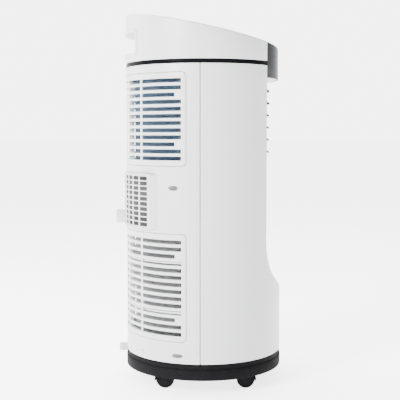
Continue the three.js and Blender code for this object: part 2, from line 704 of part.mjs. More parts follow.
// The blade's section, thickest over its pivot and thin at both edges.
function bladeSection() {
  const half = LOUVRE_THICKNESS / 2;
  const shape = new THREE.Shape();
  shape.moveTo(-LOUVRE_BACK, -half / 2);
  shape.quadraticCurveTo(0, -half, LOUVRE_FRONT / 2, -half);
  shape.quadraticCurveTo(LOUVRE_FRONT - 1, -half, LOUVRE_FRONT, 0);
  shape.quadraticCurveTo(LOUVRE_FRONT - 1, half, LOUVRE_FRONT / 2, half);
  shape.quadraticCurveTo(0, half, -LOUVRE_BACK, half / 2);
  return shape;
}

function louvre(index) {
  const end = LOUVRE_HALF_LENGTH;
  const wallMiddle = OUTLET_HALF_WIDTH - OUTLET_WALL / 2;
  let blade = across(bladeSection(), -end, end);
  blade = blade.add(bar('y', JOURNAL_RADIUS, [-wallMiddle, wallMiddle], [0, 0, 0], 8));
  const arm = box([-CRANK_RADIUS, 0], [end - TIE_BAR_THICKNESS, end], [-CRANK_PIN, CRANK_PIN]);
  const pinEnd = end + TIE_BAR_SIDE_GAP + TIE_BAR_THICKNESS;
  const pin = bar('y', CRANK_PIN, [end - TIE_BAR_THICKNESS, pinEnd], [-CRANK_RADIUS, 0, 0], 8);
  blade = blade.add(arm).add(pin);
  const mesh = piece(`louvre_${index + 1}`, blade, darkGreyPlastic());
  mesh.position.set(PIVOT_X, 0, pivotZ(index));
  mesh.rotation.y = LOUVRE_SLOPE;
  return mesh;
}

// The link that joins the cranks of all the louvres.
function tieBar() {
  const inside = LOUVRE_HALF_LENGTH + TIE_BAR_SIDE_GAP;
  const half = TIE_BAR_WIDTH / 2;
  const length = (LOUVRES - 1) * LOUVRE_PITCH;
  const outline = rectangle([-half, half], [-length - half, half], TIE_BAR_CORNER);
  let link = across(outline, inside, inside + TIE_BAR_THICKNESS);
  for (let index = 0; index < LOUVRES; index += 1) {
    const at = [0, 0, -index * LOUVRE_PITCH];
    link = link.subtract(bar('y', CRANK_PIN + FIT, [0, REACH], at, 8));
  }
  const mesh = piece('louvre_tie_bar', link, greyPlastic());
  const crank = new THREE.Vector2(-CRANK_RADIUS, 0).rotateAround(new THREE.Vector2(), -LOUVRE_SLOPE);
  mesh.position.set(PIVOT_X + crank.x, 0, pivotZ(0) + crank.y);
  return mesh;
}

function louvreMotor() {
  const side = OUTLET_HALF_WIDTH + FIT;
  const span = [side, side + LOUVRE_MOTOR_LENGTH];
  const at = [PIVOT_X - LOUVRE_MOTOR_OFFSET, 0, pivotZ(0)];
  const can = bar('y', LOUVRE_MOTOR_RADIUS, span, at, 24);
  const shaftSpan = [OUTLET_HALF_WIDTH - OUTLET_WALL / 2 + FIT, side + 1];
  const shaft = bar('y', JOURNAL_RADIUS, shaftSpan, [PIVOT_X, 0, pivotZ(0)], 12);
  return piece('louvre_motor', can.add(shaft), zincSteel());
}

// ---- Intake grilles and filters -----------------------------------------------------------------

// Upright ribs, evenly spaced across the back.
function grilleRibs(bottom, top) {
  let ribs = box([-REACH, 0], [-RIB_WIDTH / 2, RIB_WIDTH / 2], [bottom, top]);
  for (let step = 1; step <= RIBS_EACH_SIDE; step += 1) {
    for (const side of [-1, 1]) {
      const middle = side * step * RIB_SPACING;
      const span = [middle - RIB_WIDTH / 2, middle + RIB_WIDTH / 2];
      ribs = ribs.add(box([-REACH, 0], span, [bottom, top]));
    }
  }
  return ribs;
}

function slotCuts(bottom, slots, pitch) {
  let cuts = null;
  for (let row = 0; row < slots; row += 1) {
    const low = bottom + GRILLE_EDGE + row * pitch;
    const short = row === SHORT_SLOT_FROM_END || row === slots - 1 - SHORT_SLOT_FROM_END;
    const front = GRILLE_FRONT_X - SLOT_SIDE_MARGIN - (short ? TAB_WIDTH : 0);
    const cut = box([-REACH, front], [-REACH, REACH], [low, low + SLOT_HEIGHT]);
    cuts = cuts ? cuts.add(cut) : cut;
  }
  return cuts;
}

function grille(name, bottom, top, slots, pitch) {
  const band = ovalRing(0, GRILLE_THICKNESS, bottom, top).intersect(grilleWindow(bottom, top, GRILLE_GAP));
  const cuts = slotCuts(bottom, slots, pitch).subtract(grilleRibs(bottom, top));
  return piece(name, band.subtract(cuts), whitePlastic());
}

function filter(name, bottom, top) {
  const margin = GRILLE_GAP + GRILLE_CORNER / 2;
  const [low, high] = [bottom + margin, top - margin];
  const front = GRILLE_FRONT_X - margin;
  const band = ovalRing(FILTER_INSET, FILTER_INSET + FILTER_THICKNESS, low, high).intersect(behind(front));
  const rowPitch = (high - low - FILTER_BAR) / FILTER_ROWS;
  const width = sideSurfaceY(front - FILTER_BAR);
  const columnPitch = (2 * width) / FILTER_COLUMNS;
  let cells = null;
  for (let row = 0; row < FILTER_ROWS; row += 1) {
    const z = low + FILTER_BAR + row * rowPitch;
    for (let column = 0; column < FILTER_COLUMNS; column += 1) {
      const y = -width + column * columnPitch;
      const near = column ? FILTER_BAR / 2 : -FILTER_BAR;
      const far = column < FILTER_COLUMNS - 1 ? FILTER_BAR / 2 : -FILTER_BAR;
      const span = [y + near, y + columnPitch - far];
      const cell = box([-REACH, front - FILTER_BAR], span, [z, z + rowPitch - FILTER_BAR]);
      cells = cells ? cells.add(cell) : cell;
    }
  }
  return piece(name, band.subtract(cells), whitePlastic());
}

// ---- Exhaust outlet -----------------------------------------------------------------------------

function bossFace(inset) {
  const centre = -HALF_DEPTH - BOSS_PROUD + BOSS_FACE_RADIUS;
  return bar('z', BOSS_FACE_RADIUS - inset, [0, HEAD_HEIGHT], [centre, 0, 0], 36);
}

function exhaustHousing() {
  const block = lengthways(bossOutline(0), -REACH, BOSS_INNER_X).intersect(bossFace(0));
  const hollow = lengthways(bossOutline(BOSS_WALL), -REACH, 0);
  return piece('exhaust_housing', block.subtract(hollow), whitePlastic());
}

function exhaustGrid() {
  const inset = BOSS_WALL + FIT;
  const plate = lengthways(bossOutline(inset), -REACH, BOSS_INNER_X)
    .intersect(bossFace(FIT))
    .subtract(bossFace(FIT + GRID_THICKNESS));
  const [left, right] = [-BOSS_NEAR_SIDE + inset + GRID_POST, BOSS_FAR_SIDE - inset - GRID_POST];
  const [low, high] = [BOSS_BOTTOM + inset + GRID_RIB, BOSS_TOP - inset - GRID_RIB];
  const columnPitch = (right - left + GRID_POST) / GRID_COLUMNS;
  const rowPitch = (high - low + GRID_RIB) / GRID_ROWS;
  let cells = null;
  for (let row = 0; row < GRID_ROWS; row += 1) {
    for (let column = 0; column < GRID_COLUMNS; column += 1) {
      const y = left + column * columnPitch;
      const z = low + row * rowPitch;
      const cell = box([-REACH, 0], [y, y + columnPitch - GRID_POST], [z, z + rowPitch - GRID_RIB]);
      cells = cells ? cells.add(cell) : cell;
    }
  }
  return piece('exhaust_grid', plate.subtract(cells), whitePlastic());
}

// The duct that leads the hot air from the lower fan into the back of the exhaust housing.
function exhaustDuct() {
  const wall = FAN_HOUSING_WALL;
  const sides = [-BOSS_NEAR_SIDE + BOSS_WALL, BOSS_FAR_SIDE - BOSS_WALL];
  const inner = [sides[0] + wall, sides[1] - wall];
  const front = MOTOR_PLATE_X + FAN_HOUSING_WALL;
  let duct = box([BOSS_INNER_X + FIT, front], sides, [BOSS_BOTTOM, BOSS_TOP]);
  duct = duct.subtract(box([-REACH, front - wall], inner, [BOSS_BOTTOM + wall, BOSS_TOP - wall]));
  const mouth = [FAN_BACK_X + wall, front - wall];
  duct = duct.subtract(box(mouth, [-FAN_HALF_WIDTH + wall, 0], [0, BOSS_BOTTOM + 2 * wall]));
  return piece('exhaust_duct', duct, greyPlastic());
}

// ---- Drains and gland ---------------------------------------------------------------------------

const drainFaceX = (drain) => backSurfaceX(Math.abs(drain.y) + drain.cap) - FIT;

// A nipple through the cover, with a collar outside it that the cap meets.
function drainSpout(name, drain) {
  const collarBack = drainFaceX(drain) - DRAIN_COLLAR;
  const tip = -HALF_DEPTH - drain.reach + DRAIN_END_WALL + CAP_PLAY;
  const at = [0, drain.y, drainZ(drain)];
  let spout = bar('x', drain.spout, [tip, -HALF_DEPTH + COIL_INSET - DRAIN_FROM_COIL], at, 12);
  const casingOutline = oval(-SKIRT_PROUD - FIT, 0, HEAD_HEIGHT);
  const collar = bar('x', drain.cap, [collarBack, 0], at, 16).subtract(casingOutline);
  spout = spout.add(collar);
  return piece(name, spout.subtract(bar('x', drain.bore, [-REACH, 0], at, 8)), whitePlastic());
}

function drainCap(name, drain) {
  const end = -HALF_DEPTH - drain.reach;
  const collarBack = drainFaceX(drain) - DRAIN_COLLAR;
  const at = [0, drain.y, drainZ(drain)];
  const cap = bar('x', drain.cap, [end, collarBack - CAP_PLAY], at, 16);
  const bore = bar('x', drain.spout + CAP_PLAY, [end + DRAIN_END_WALL, 0], at, 12);
  return piece(name, cap.subtract(bore), whitePlastic());
}

function cordGland() {
  const flange = glandBar(GLAND_FLANGE_RADIUS, [GLAND_FROM_SURFACE, GLAND_FROM_SURFACE + GLAND_FLANGE]);
  const neck = glandBar(GLAND_RADIUS, [-3 * WALL, GLAND_FROM_SURFACE + GLAND_FLANGE / 2]);
  const bore = glandBar(GLAND_BORE, [-4 * WALL, 4 * WALL]);
  return piece('cord_gland', flange.add(neck).subtract(bore), blackPlastic());
}

// ---- Machinery ----------------------------------------------------------------------------------

function coil(name, bottom, top, material) {
  const band = ovalRing(COIL_INSET, COIL_INSET + COIL_THICKNESS, bottom, top);
  return piece(name, band.intersect(behind(COIL_FRONT_X)), material);
}

// The shelf between the two halves, which also catches the water that drips from the upper coil.
function upperDeck() {
  const inset = WALL + FIT;
  const bottom = UPPER_DECK_TOP - DECK_THICKNESS;
  const top = UPPER_DECK_TOP + DECK_RIM;
  const outer = oval(inset, bottom, top).intersect(behindScoop(inset));
  const rim = inset + DECK_THICKNESS;
  const inner = oval(rim, UPPER_DECK_TOP, top + 1).intersect(behindScoop(rim));
  const outlet = box([FACE_X - OUTLET_DEPTH - 1, REACH], [-REACH, REACH], [OUTLET_BOTTOM - 1, REACH * 2]);
  return piece('drip_deck', outer.subtract(inner).subtract(outlet), greyPlastic());
}

function blowerWheel(name, z) {
  const inner = FAN_WHEEL_RADIUS - FAN_BLADE_DEPTH;
  const front = FAN_WHEEL_DEPTH;
  const plate = bar('z', FAN_WHEEL_RADIUS, [front - FAN_PLATE, front], [0, 0, 0], 20);
  const hub = bar('z', 3 * SHAFT_RADIUS, [HUB_BACK, front - 1], [0, 0, 0], 12);
  const rim = turned([
    [inner, 0],
    [FAN_WHEEL_RADIUS, 0],
    [FAN_WHEEL_RADIUS, FAN_PLATE],
    [inner, FAN_PLATE],
    [inner, 0],
  ], 20);
  let wheel = plate.add(rim).add(hub);
  for (let index = 0; index < FAN_BLADES; index += 1) {
    const blade = new THREE.BoxGeometry(FAN_BLADE_DEPTH - 2, FAN_BLADE_THICKNESS, front - FAN_PLATE);
    blade.rotateZ(FAN_BLADE_TURN);
    blade.translate(inner + FAN_BLADE_DEPTH / 2, 0, front / 2);
    blade.rotateZ((index * 2 * Math.PI) / FAN_BLADES);
    wheel = wheel.add(solid(blade));
  }
  const bore = bar('z', SHAFT_RADIUS + FIT, [0, front + 1], [0, 0, 0], 12);
  const mesh = piece(name, wheel.subtract(bore), greyPlastic());
  mesh.rotation.y = Math.PI / 2;
  mesh.position.set(FAN_WHEEL_BACK_X, 0, z);
  return mesh;
}

function fanMotor(name, z) {
  const at = [0, 0, z];
  const can = bar('x', MOTOR_RADIUS, [MOTOR_BACK_X, MOTOR_BACK_X + MOTOR_LENGTH], at, 24);
  const shaft = bar('x', SHAFT_RADIUS, [FAN_WHEEL_BACK_X + HUB_BACK + 2, MOTOR_BACK_X + 1], at, 12);
  return piece(name, can.add(shaft), zincSteel());
}

// The lower blower's case draws air through the coil behind it and sends it up into the duct.
function lowerFanHousing() {
  const wall = FAN_HOUSING_WALL;
  const bottom = LOWER_FAN_Z - LOWER_FAN_HALF_HEIGHT;
  const top = BOSS_BOTTOM - FIT;
  const front = MOTOR_PLATE_X + wall;
  const half = FAN_HALF_WIDTH;
  const at = [0, 0, LOWER_FAN_Z];
  let shell = box([FAN_BACK_X, front], [-half, half], [bottom, top]);
  const depth = [FAN_BACK_X + wall, front - wall];
  shell = shell.subtract(box(depth, [-half + wall, half - wall], [bottom + wall, top - wall]));
  shell = shell.subtract(bar('x', FAN_INLET_RADIUS, [-REACH, FAN_WHEEL_BACK_X], at, 36));
  shell = shell.subtract(bar('x', 2 * SHAFT_RADIUS, [FAN_WHEEL_BACK_X, REACH], at, 12));
  shell = shell.subtract(box(depth, [-half + wall, 0], [top - 2 * wall, REACH]));
  return piece('condenser_fan_housing', shell, greyPlastic());
}

// The upper blower's case opens at the front into the outlet, and a bar across it holds the motor.
function upperFanHousing() {
  const wall = FAN_HOUSING_WALL;
  const [bottom, top] = [UPPER_FAN_BOTTOM, UPPER_FAN_TOP];
  const front = FACE_X - OUTLET_DEPTH - FIT;
  const half = FAN_HALF_WIDTH;
  const at = [0, 0, UPPER_FAN_Z];
  let shell = box([FAN_BACK_X, front], [-half, half], [bottom, top]);
  const inside = [[-half + wall, half - wall], [bottom + wall, top - wall]];
  shell = shell.subtract(box([FAN_BACK_X + wall, REACH], ...inside));
  shell = shell.subtract(bar('x', FAN_INLET_RADIUS, [-REACH, FAN_WHEEL_BACK_X], at, 36));
  const braceHeight = [UPPER_FAN_Z - MOTOR_RADIUS, UPPER_FAN_Z + MOTOR_RADIUS];
  const brace = box([MOTOR_PLATE_X, MOTOR_PLATE_X + wall], [-half + 1, half - 1], braceHeight);
  shell = shell.add(brace.subtract(bar('x', 2 * SHAFT_RADIUS, [-REACH, REACH], at, 12)));
  return piece('evaporator_fan_housing', shell, greyPlastic());
}

function compressor() {
  const r = COMPRESSOR_RADIUS;
  const wide = r + COMPRESSOR_FOOT;
  const body = turned([
    [0, 0],
    [wide, 0],
    [wide, COMPRESSOR_FOOT],
    [r, COMPRESSOR_FOOT],
    [r, COMPRESSOR_HEIGHT - COMPRESSOR_DOME],
    [r * 0.9, COMPRESSOR_HEIGHT - COMPRESSOR_DOME / 2],
    [r * 0.6, COMPRESSOR_HEIGHT - 2],
    [0, COMPRESSOR_HEIGHT],
  ], 20);
  const mesh = piece('compressor', body, blackSteel());
  const x = MOTOR_BACK_X + MOTOR_LENGTH + COMPRESSOR_GAP + wide;
  mesh.position.set(x, 0, DECK_TOP + FIT);
  return mesh;
}

function controlBox() {
  const low = UPPER_FAN_TOP + FIT;
  const depth = [-CONTROL_BOX_BACK, CONTROL_BOX_LENGTH - CONTROL_BOX_BACK];
  const width = [-CONTROL_BOX_HALF_WIDTH, CONTROL_BOX_HALF_WIDTH];
  const shell = box(depth, width, [low, low + CONTROL_BOX_HEIGHT]);
  return piece('control_box', shell, greyPlastic());
}

// ---- Casters ------------------------------------------------------------------------------------

// Each stem stands inside the skirt by the wheel's own reach, and its wheels stand inboard of it.
function casterPlaces() {
  const rows = [
    ['back', BACK_CASTER, -1],
    ['front', FRONT_CASTER, 1],
  ];
  const sides = [
    ['left', -1],
    ['right', 1],
  ];
  return rows.flatMap(([row, caster, outward]) => {
    const inset = WHEEL_RADIUS + CASTER_TRAIL + caster.clearance;
    const stemX = (HALF_DEPTH - inset) * Math.cos(caster.angle);
    const stemY = (HALF_WIDTH - inset) * Math.sin(caster.angle);
    return sides.map(([side, hand]) => ({
      name: `${row}_${side}`,
      wheelX: stemX - outward * CASTER_TRAIL,
      y: hand * stemY,
      outward,
      stemX,
    }));
  });
}

// Drawn about the axle, with the stem towards +X.
function casterFork() {
  const inner = WHEEL_RADIUS + HOOD_GAP;
  const outer = inner + HOOD_WALL;
  const half = WHEEL_HALF_WIDTH + HOOD_WALL;
  const web = WHEEL_WEB_GAP - FIT;
  const axle = [0, 0, 0];
  const quarter = box([-HOOD_PAST_AXLE, REACH], [-half, half], [-HOOD_PAST_AXLE, REACH]);
  const hollow = bar('y', inner, [-REACH, REACH], axle, 20);
  let fork = bar('y', outer, [-half, half], axle, 20).subtract(hollow).intersect(quarter);
  fork = fork.add(bar('y', inner + HOOD_WALL / 2, [-web, web], axle, 20).intersect(quarter));
  fork = fork.add(bar('y', EYE_RADIUS, [-web, web], axle, 16));
  const stemTop = DECK_TOP + STEM_ABOVE_DECK - AXLE_Z;
  const stem = bar('z', STEM_RADIUS, [WHEEL_RADIUS - 2, stemTop], [CASTER_TRAIL, 0, 0], 12);
  fork = fork.add(stem.subtract(bar('y', inner + HOOD_WALL / 4, [-REACH, REACH], axle, 20)));
  return fork.subtract(bar('y', AXLE_RADIUS + STEM_PLAY, [-REACH, REACH], axle, 12));
}

function casterWheel() {
  const wheelAt = [0, 0, 0];
  let wheel = bar('y', AXLE_RADIUS, [-WHEEL_HALF_WIDTH, WHEEL_HALF_WIDTH], wheelAt, 12);
  for (const [from, to] of [[-WHEEL_HALF_WIDTH, -WHEEL_WEB_GAP], [WHEEL_WEB_GAP, WHEEL_HALF_WIDTH]]) {
    wheel = wheel.add(bar('y', WHEEL_RADIUS, [from, to], wheelAt, WHEEL_FACETS));
  }
  return wheel;
}

function caster(place) {
  const group = new THREE.Group();
  group.position.set(place.wheelX, place.y, AXLE_Z);
  const fork = piece(`caster_fork_${place.name}`, casterFork(), blackPlastic());
  fork.rotation.z = place.outward > 0 ? 0 : Math.PI;
  group.add(fork, piece(`caster_wheel_${place.name}`, casterWheel(), darkGreyPlastic()));
  return group;
}

// ---- Assembly -----------------------------------------------------------------------------------

function casing() {
  const group = new THREE.Group();
  group.add(basePan(), frontCover(), rearCover(), trimRing(), topCover(), handleCup());
  group.add(controlPanel(), buttonRow(), visor(), visorFloor());
  SCREW_PLACES.forEach((place) => group.add(coverScrew(...place)));
  return group;
}

function outlet() {
  const group = new THREE.Group();
  group.add(outletFrame(), tieBar(), louvreMotor());
  for (let index = 0; index < LOUVRES; index += 1) group.add(louvre(index));
  return group;
}

function back() {
  const group = new THREE.Group();
  group.add(grille('upper_grille', UPPER_GRILLE_BOTTOM, UPPER_GRILLE_TOP, UPPER_SLOTS, UPPER_SLOT_PITCH));
  group.add(grille('lower_grille', LOWER_GRILLE_BOTTOM, LOWER_GRILLE_TOP, LOWER_SLOTS, LOWER_SLOT_PITCH));
  group.add(filter('upper_filter', UPPER_GRILLE_BOTTOM, UPPER_GRILLE_TOP));
  group.add(filter('lower_filter', LOWER_GRILLE_BOTTOM, LOWER_GRILLE_TOP));
  group.add(exhaustHousing(), exhaustGrid(), cordGland());
  group.add(drainSpout('upper_drain_spout', UPPER_DRAIN), drainCap('upper_drain_cap', UPPER_DRAIN));
  group.add(drainSpout('lower_drain_spout', LOWER_DRAIN), drainCap('lower_drain_cap', LOWER_DRAIN));
  return group;
}

function machinery() {
  const group = new THREE.Group();
  group.add(coil('evaporator_coil', UPPER_DECK_TOP + FIT, UPPER_GRILLE_TOP, blueFins()));
  group.add(coil('condenser_coil', DECK_TOP + STEM_ABOVE_DECK + FIT, LOWER_GRILLE_TOP, bareFins()));
  group.add(upperDeck(), exhaustDuct(), lowerFanHousing(), upperFanHousing());
  group.add(blowerWheel('evaporator_fan_wheel', UPPER_FAN_Z));
  group.add(blowerWheel('condenser_fan_wheel', LOWER_FAN_Z));
  group.add(fanMotor('evaporator_fan_motor', UPPER_FAN_Z), fanMotor('condenser_fan_motor', LOWER_FAN_Z));
  group.add(compressor(), controlBox());
  return group;
}

const airConditioner = new THREE.Group();
airConditioner.add(casing(), outlet(), back(), machinery());
casterPlaces().forEach((place) => airConditioner.add(caster(place)));
airConditioner.position.x = (UPPER_DRAIN.reach - SKIRT_PROUD) / 2;

export default airConditioner;
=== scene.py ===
"""Portable air conditioner: its visible pieces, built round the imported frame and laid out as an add-on."""
import json
from math import acos, atan2, cos, hypot, pi, radians, sin, sqrt, tan

import bmesh
import bpy
from mathutils import Matrix, Vector


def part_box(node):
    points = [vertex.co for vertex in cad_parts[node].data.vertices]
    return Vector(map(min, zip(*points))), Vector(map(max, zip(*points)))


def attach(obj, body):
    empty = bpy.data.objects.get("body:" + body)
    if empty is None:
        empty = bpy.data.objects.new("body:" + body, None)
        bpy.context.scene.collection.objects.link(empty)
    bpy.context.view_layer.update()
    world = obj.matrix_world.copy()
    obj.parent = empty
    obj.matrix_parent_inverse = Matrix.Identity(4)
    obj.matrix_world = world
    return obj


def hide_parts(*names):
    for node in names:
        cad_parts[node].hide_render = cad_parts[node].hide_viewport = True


bl_info = {
    "name": "Portable Air Conditioner",
    "version": (1, 0, 0),
    "blender": (4, 5, 0),
    "location": "View3D > Sidebar > Air Conditioner",
    "description": "Builds a portable air conditioner piece by piece round its packed frame",
    "category": "Add Mesh",
}

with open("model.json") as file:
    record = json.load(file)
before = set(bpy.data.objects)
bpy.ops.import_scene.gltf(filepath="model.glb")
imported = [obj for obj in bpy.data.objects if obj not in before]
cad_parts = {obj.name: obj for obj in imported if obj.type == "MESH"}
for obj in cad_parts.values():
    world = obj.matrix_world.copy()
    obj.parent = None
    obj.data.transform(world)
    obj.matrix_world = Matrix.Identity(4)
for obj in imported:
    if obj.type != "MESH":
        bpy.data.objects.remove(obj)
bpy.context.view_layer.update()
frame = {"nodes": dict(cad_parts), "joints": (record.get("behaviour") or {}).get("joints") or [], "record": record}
MM = 0.001
CUT_REACH = 0.3
BORE_REACH = 0.2
OUTLET_CUT = 20 * MM
HANDLE_CUT_DEPTH = 34 * MM
TRAY_HALF_WIDTH = 90 * MM


# ---- Places and sizes taken from the frame ----

def low(node, axis):
    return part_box(node)[0][axis]


def high(node, axis):
    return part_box(node)[1][axis]


def middle_of(node, axis):
    return (low(node, axis) + high(node, axis)) / 2


def span_of(node, axis):
    return high(node, axis) - low(node, axis)


HALF_DEPTH = (high("front_cover", 0) - low("rear_cover", 0)) / 2
HALF_WIDTH = span_of("front_cover", 1) / 2
CENTRE_X = (high("front_cover", 0) + low("rear_cover", 0)) / 2
SEAM_X = low("front_cover", 0) - CENTRE_X
FACE_X = high("top_cover", 0) - CENTRE_X
FLOOR_GAP = low("base_pan", 2)
BASE_TOP = high("base_pan", 2)
COVER_BOTTOM = low("front_cover", 2)
COVER_TOP = high("front_cover", 2)
RING_BOTTOM = low("trim_ring", 2)
RING_TOP = high("trim_ring", 2)
HEAD_BOTTOM = low("top_cover", 2)
HEAD_TOP = high("top_cover", 2)
VISOR_BOTTOM = low("visor", 2)
LOUVRES = sum(name.startswith("louvre_") and name[7:].isdigit() for name in frame["nodes"])
JOINTS = {joint["name"]: joint for joint in frame["joints"]}
BUTTONS = [name for name in frame["nodes"] if name.endswith("_button")]
CORNERS = ("back_left", "back_right", "front_left", "front_right")


# ---- Settings that a user would change ----

def length(name, description, default):
    return bpy.props.FloatProperty(name=name, description=description, default=default, min=0.0,
                                   unit="LENGTH", subtype="DISTANCE", precision=5)


def colour(name, description, default):
    return bpy.props.FloatVectorProperty(name=name, description=description, default=default, size=3,
                                         min=0.0, max=1.0, subtype="COLOR")


class CasingSettings(bpy.types.PropertyGroup):
    """Sizes of the covers, the ring, the head and the base"""
    wall: length("Wall", "Wall of the moulded covers", 2.4 * MM)
    edge: length("Edge", "Rounding along the covers' edges", 1.1 * MM)
    head_edge: length("Head edge", "Rounding round the top of the head", 3.2 * MM)
    crease: length("Crease", "Rounding where the side meets the flat front", 1.0 * MM)
    slope: bpy.props.FloatProperty(name="Head slope", description="Fall of the head towards the front",
                                   default=radians(12.16), subtype="ANGLE")
    sweep_radius: length("Sweep radius", "Radius of the hollow sweep above the foot", 147 * MM)
    foot_height: length("Foot height", "Height of the foot above the base", 116.3 * MM)
    band_height: length("Band height", "Recessed band at the top of the base", 9.6 * MM)
    visor_radius: length("Visor radius", "Radius of the visor in plan", 194 * MM)
    skirt_proud: length("Skirt proud", "How far the base skirt stands out of the covers", 0.8 * MM)
    band_inset: length("Band inset", "How far the band lies back", 1.2 * MM)


class GrilleSettings(bpy.types.PropertyGroup):
    """Sizes of the intake grilles, the filters and the coils behind them"""
    slot: length("Slot", "Clear height of one slot", 6.9 * MM)
    upper_pitch: length("Upper pitch", "Slot pitch of the upper grille", 12.2 * MM)
    lower_pitch: length("Lower pitch", "Slot pitch of the lower grille", 12.4 * MM)
    edge: length("Edge", "From the outline to the first slot", 10.5 * MM)
    side: length("Side margin", "From the outline's front edge to the slots", 9.3 * MM)
    tab: length("Tab", "Length of the finger pad in a short slot", 11.3 * MM)
    corner: length("Corner", "Corner radius of the outline", 8.5 * MM)
    rib: length("Rib", "Width of an upright rib", 5.2 * MM)
    rib_spacing: length("Rib spacing", "Distance between upright ribs across the back", 49.4 * MM)
    gap: length("Gap", "Gap between a grille and its cover", 0.9 * MM)
    fin_pitch: length("Fin pitch", "Distance between the coil's fins", 2.0 * MM)


class OutletSettings(bpy.types.PropertyGroup):
    """Sizes of the front louvres and the rear hot-air grid"""
    rows: bpy.props.IntProperty(name="Rows", description="Rows of cells in the rear grid", default=10,
                                min=1)
    columns: bpy.props.IntProperty(name="Columns", description="Columns of cells in the rear grid",
                                   default=6, min=1)
    rib: length("Rib", "Height of a level rib in the rear grid", 2.0 * MM)
    post: length("Post", "Width of an upright post in the rear grid", 3.0 * MM)
    face_radius: length("Face radius", "Radius of the rear outlet's face", 185 * MM)
    louvre_front: length("Louvre front", "Louvre blade ahead of its pivot", 19.6 * MM)
    louvre_back: length("Louvre back", "Louvre blade behind its pivot", 5.0 * MM)
    louvre_thickness: length("Louvre thickness", "Thickness of a louvre blade", 2.6 * MM)


class FinishSettings(bpy.types.PropertyGroup):
    """Colours of the finishes"""
    white: colour("White", "Moulded covers", (0.46, 0.465, 0.474))
    black: colour("Black", "Base, hoods and gland", (0.004, 0.004, 0.0045))
    gloss: colour("Gloss black", "Trim ring and control panel", (0.003, 0.003, 0.0035))
    smoke: colour("Smoke", "Visor", (0.010, 0.011, 0.013))
    dark_grey: colour("Dark grey", "Louvres, wheels and buttons", (0.006, 0.006, 0.007))
    # Pocket: painted shade, a darker colour for the walls of the screw pockets and the inner walls of the exhaust
    # collar, standing in for the shadow in these recesses.
    pocket: colour("Pocket", "Screw pockets and the lining of the exhaust", (0.10, 0.10, 0.105))
    grey: colour("Grey", "Ducts, wheels and shelves inside", (0.045, 0.045, 0.048))
    blue: colour("Blue", "Coated fins of the upper coil", (0.13, 0.20, 0.30))
    fin: colour("Bare fin", "Fins of the lower coil", (0.42, 0.43, 0.44))


SETTINGS = {"ac_casing": CasingSettings, "ac_grille": GrilleSettings, "ac_outlet": OutletSettings,
            "ac_finish": FinishSettings}


def settings(name):
    return getattr(bpy.context.scene, name)


# ---- Shader expressions ----

class Value:
    """A shader socket that can be written into sums and products."""

    def __init__(self, shader, socket):
        self.shader = shader
        self.socket = socket

    def math(self, operation, first, second=None):
        inputs = [first] if second is None else [first, second]
        return self.shader.node("ShaderNodeMath", {"operation": operation}, dict(enumerate(inputs)))

    def __add__(self, other):
        return self.math("ADD", self, other)

    def __radd__(self, other):
        return self.math("ADD", other, self)

    def __sub__(self, other):
        return self.math("SUBTRACT", self, other)

    def __rsub__(self, other):
        return self.math("SUBTRACT", other, self)

    def __mul__(self, other):
        return self.math("MULTIPLY", self, other)

    def __rmul__(self, other):
        return self.math("MULTIPLY", other, self)

    def __truediv__(self, other):
        return self.math("DIVIDE", self, other)

    def clamped(self):
        return self.math("MINIMUM", self.math("MAXIMUM", self, 0.0), 1.0)


class Shader:
    """One procedural finish round a Principled BSDF."""

    def __init__(self, name):
        self.material = bpy.data.materials.new(name)
        self.material.use_nodes = True
        self.tree = self.material.node_tree
        self.surface = self.tree.nodes["Principled BSDF"]

    def node(self, kind, options=None, sockets=None, output=0):
        made = self.tree.nodes.new(kind)
        for option, value in (options or {}).items():
            if option == "stops":
                self.set_stops(made, value)
            else:
                setattr(made, option, value)
        for socket, value in (sockets or {}).items():
            self.feed(made.inputs[socket], value)
        return Value(self, made.outputs[output])

    def set_stops(self, ramp, stops):
        elements = ramp.color_ramp.elements
        while len(elements) < len(stops):
            elements.new(0.5)
        for element, (place, level) in zip(elements, stops):
            element.position = place
            element.color = (level, level, level, 1.0)

    def feed(self, socket, value):
        if isinstance(value, Value):
            self.tree.links.new(value.socket, socket)
        else:
            socket.default_value = value

    def place(self):
        return self.node("ShaderNodeTexCoord", output="Object")

    def noise(self, scale, detail=3.0, stretch=(1.0, 1.0, 1.0)):
        spot = self.node("ShaderNodeMapping", {}, {"Vector": self.place(), "Scale": stretch})
        return self.node("ShaderNodeTexNoise", {}, {"Vector": spot, "Scale": scale, "Detail": detail})

    def ramp(self, value, *stops):
        return self.node("ShaderNodeValToRGB", {"stops": stops}, {0: value})

    def mix(self, factor, first, second):
        return self.node("ShaderNodeMix", {"data_type": "RGBA"},
                         {"Factor": factor, 6: first, 7: second}, output=2)

    def bump(self, height, depth, strength=1.0):
        return self.node("ShaderNodeBump", {}, {"Height": height, "Distance": depth, "Strength": strength})

    def finish(self, **sockets):
        for name, value in sockets.items():
            self.feed(self.surface.inputs[name.replace("_", " ")], value)
        return self.material


def rgba(values, scale=1.0):
    return tuple(channel * scale for channel in values) + (1.0,)


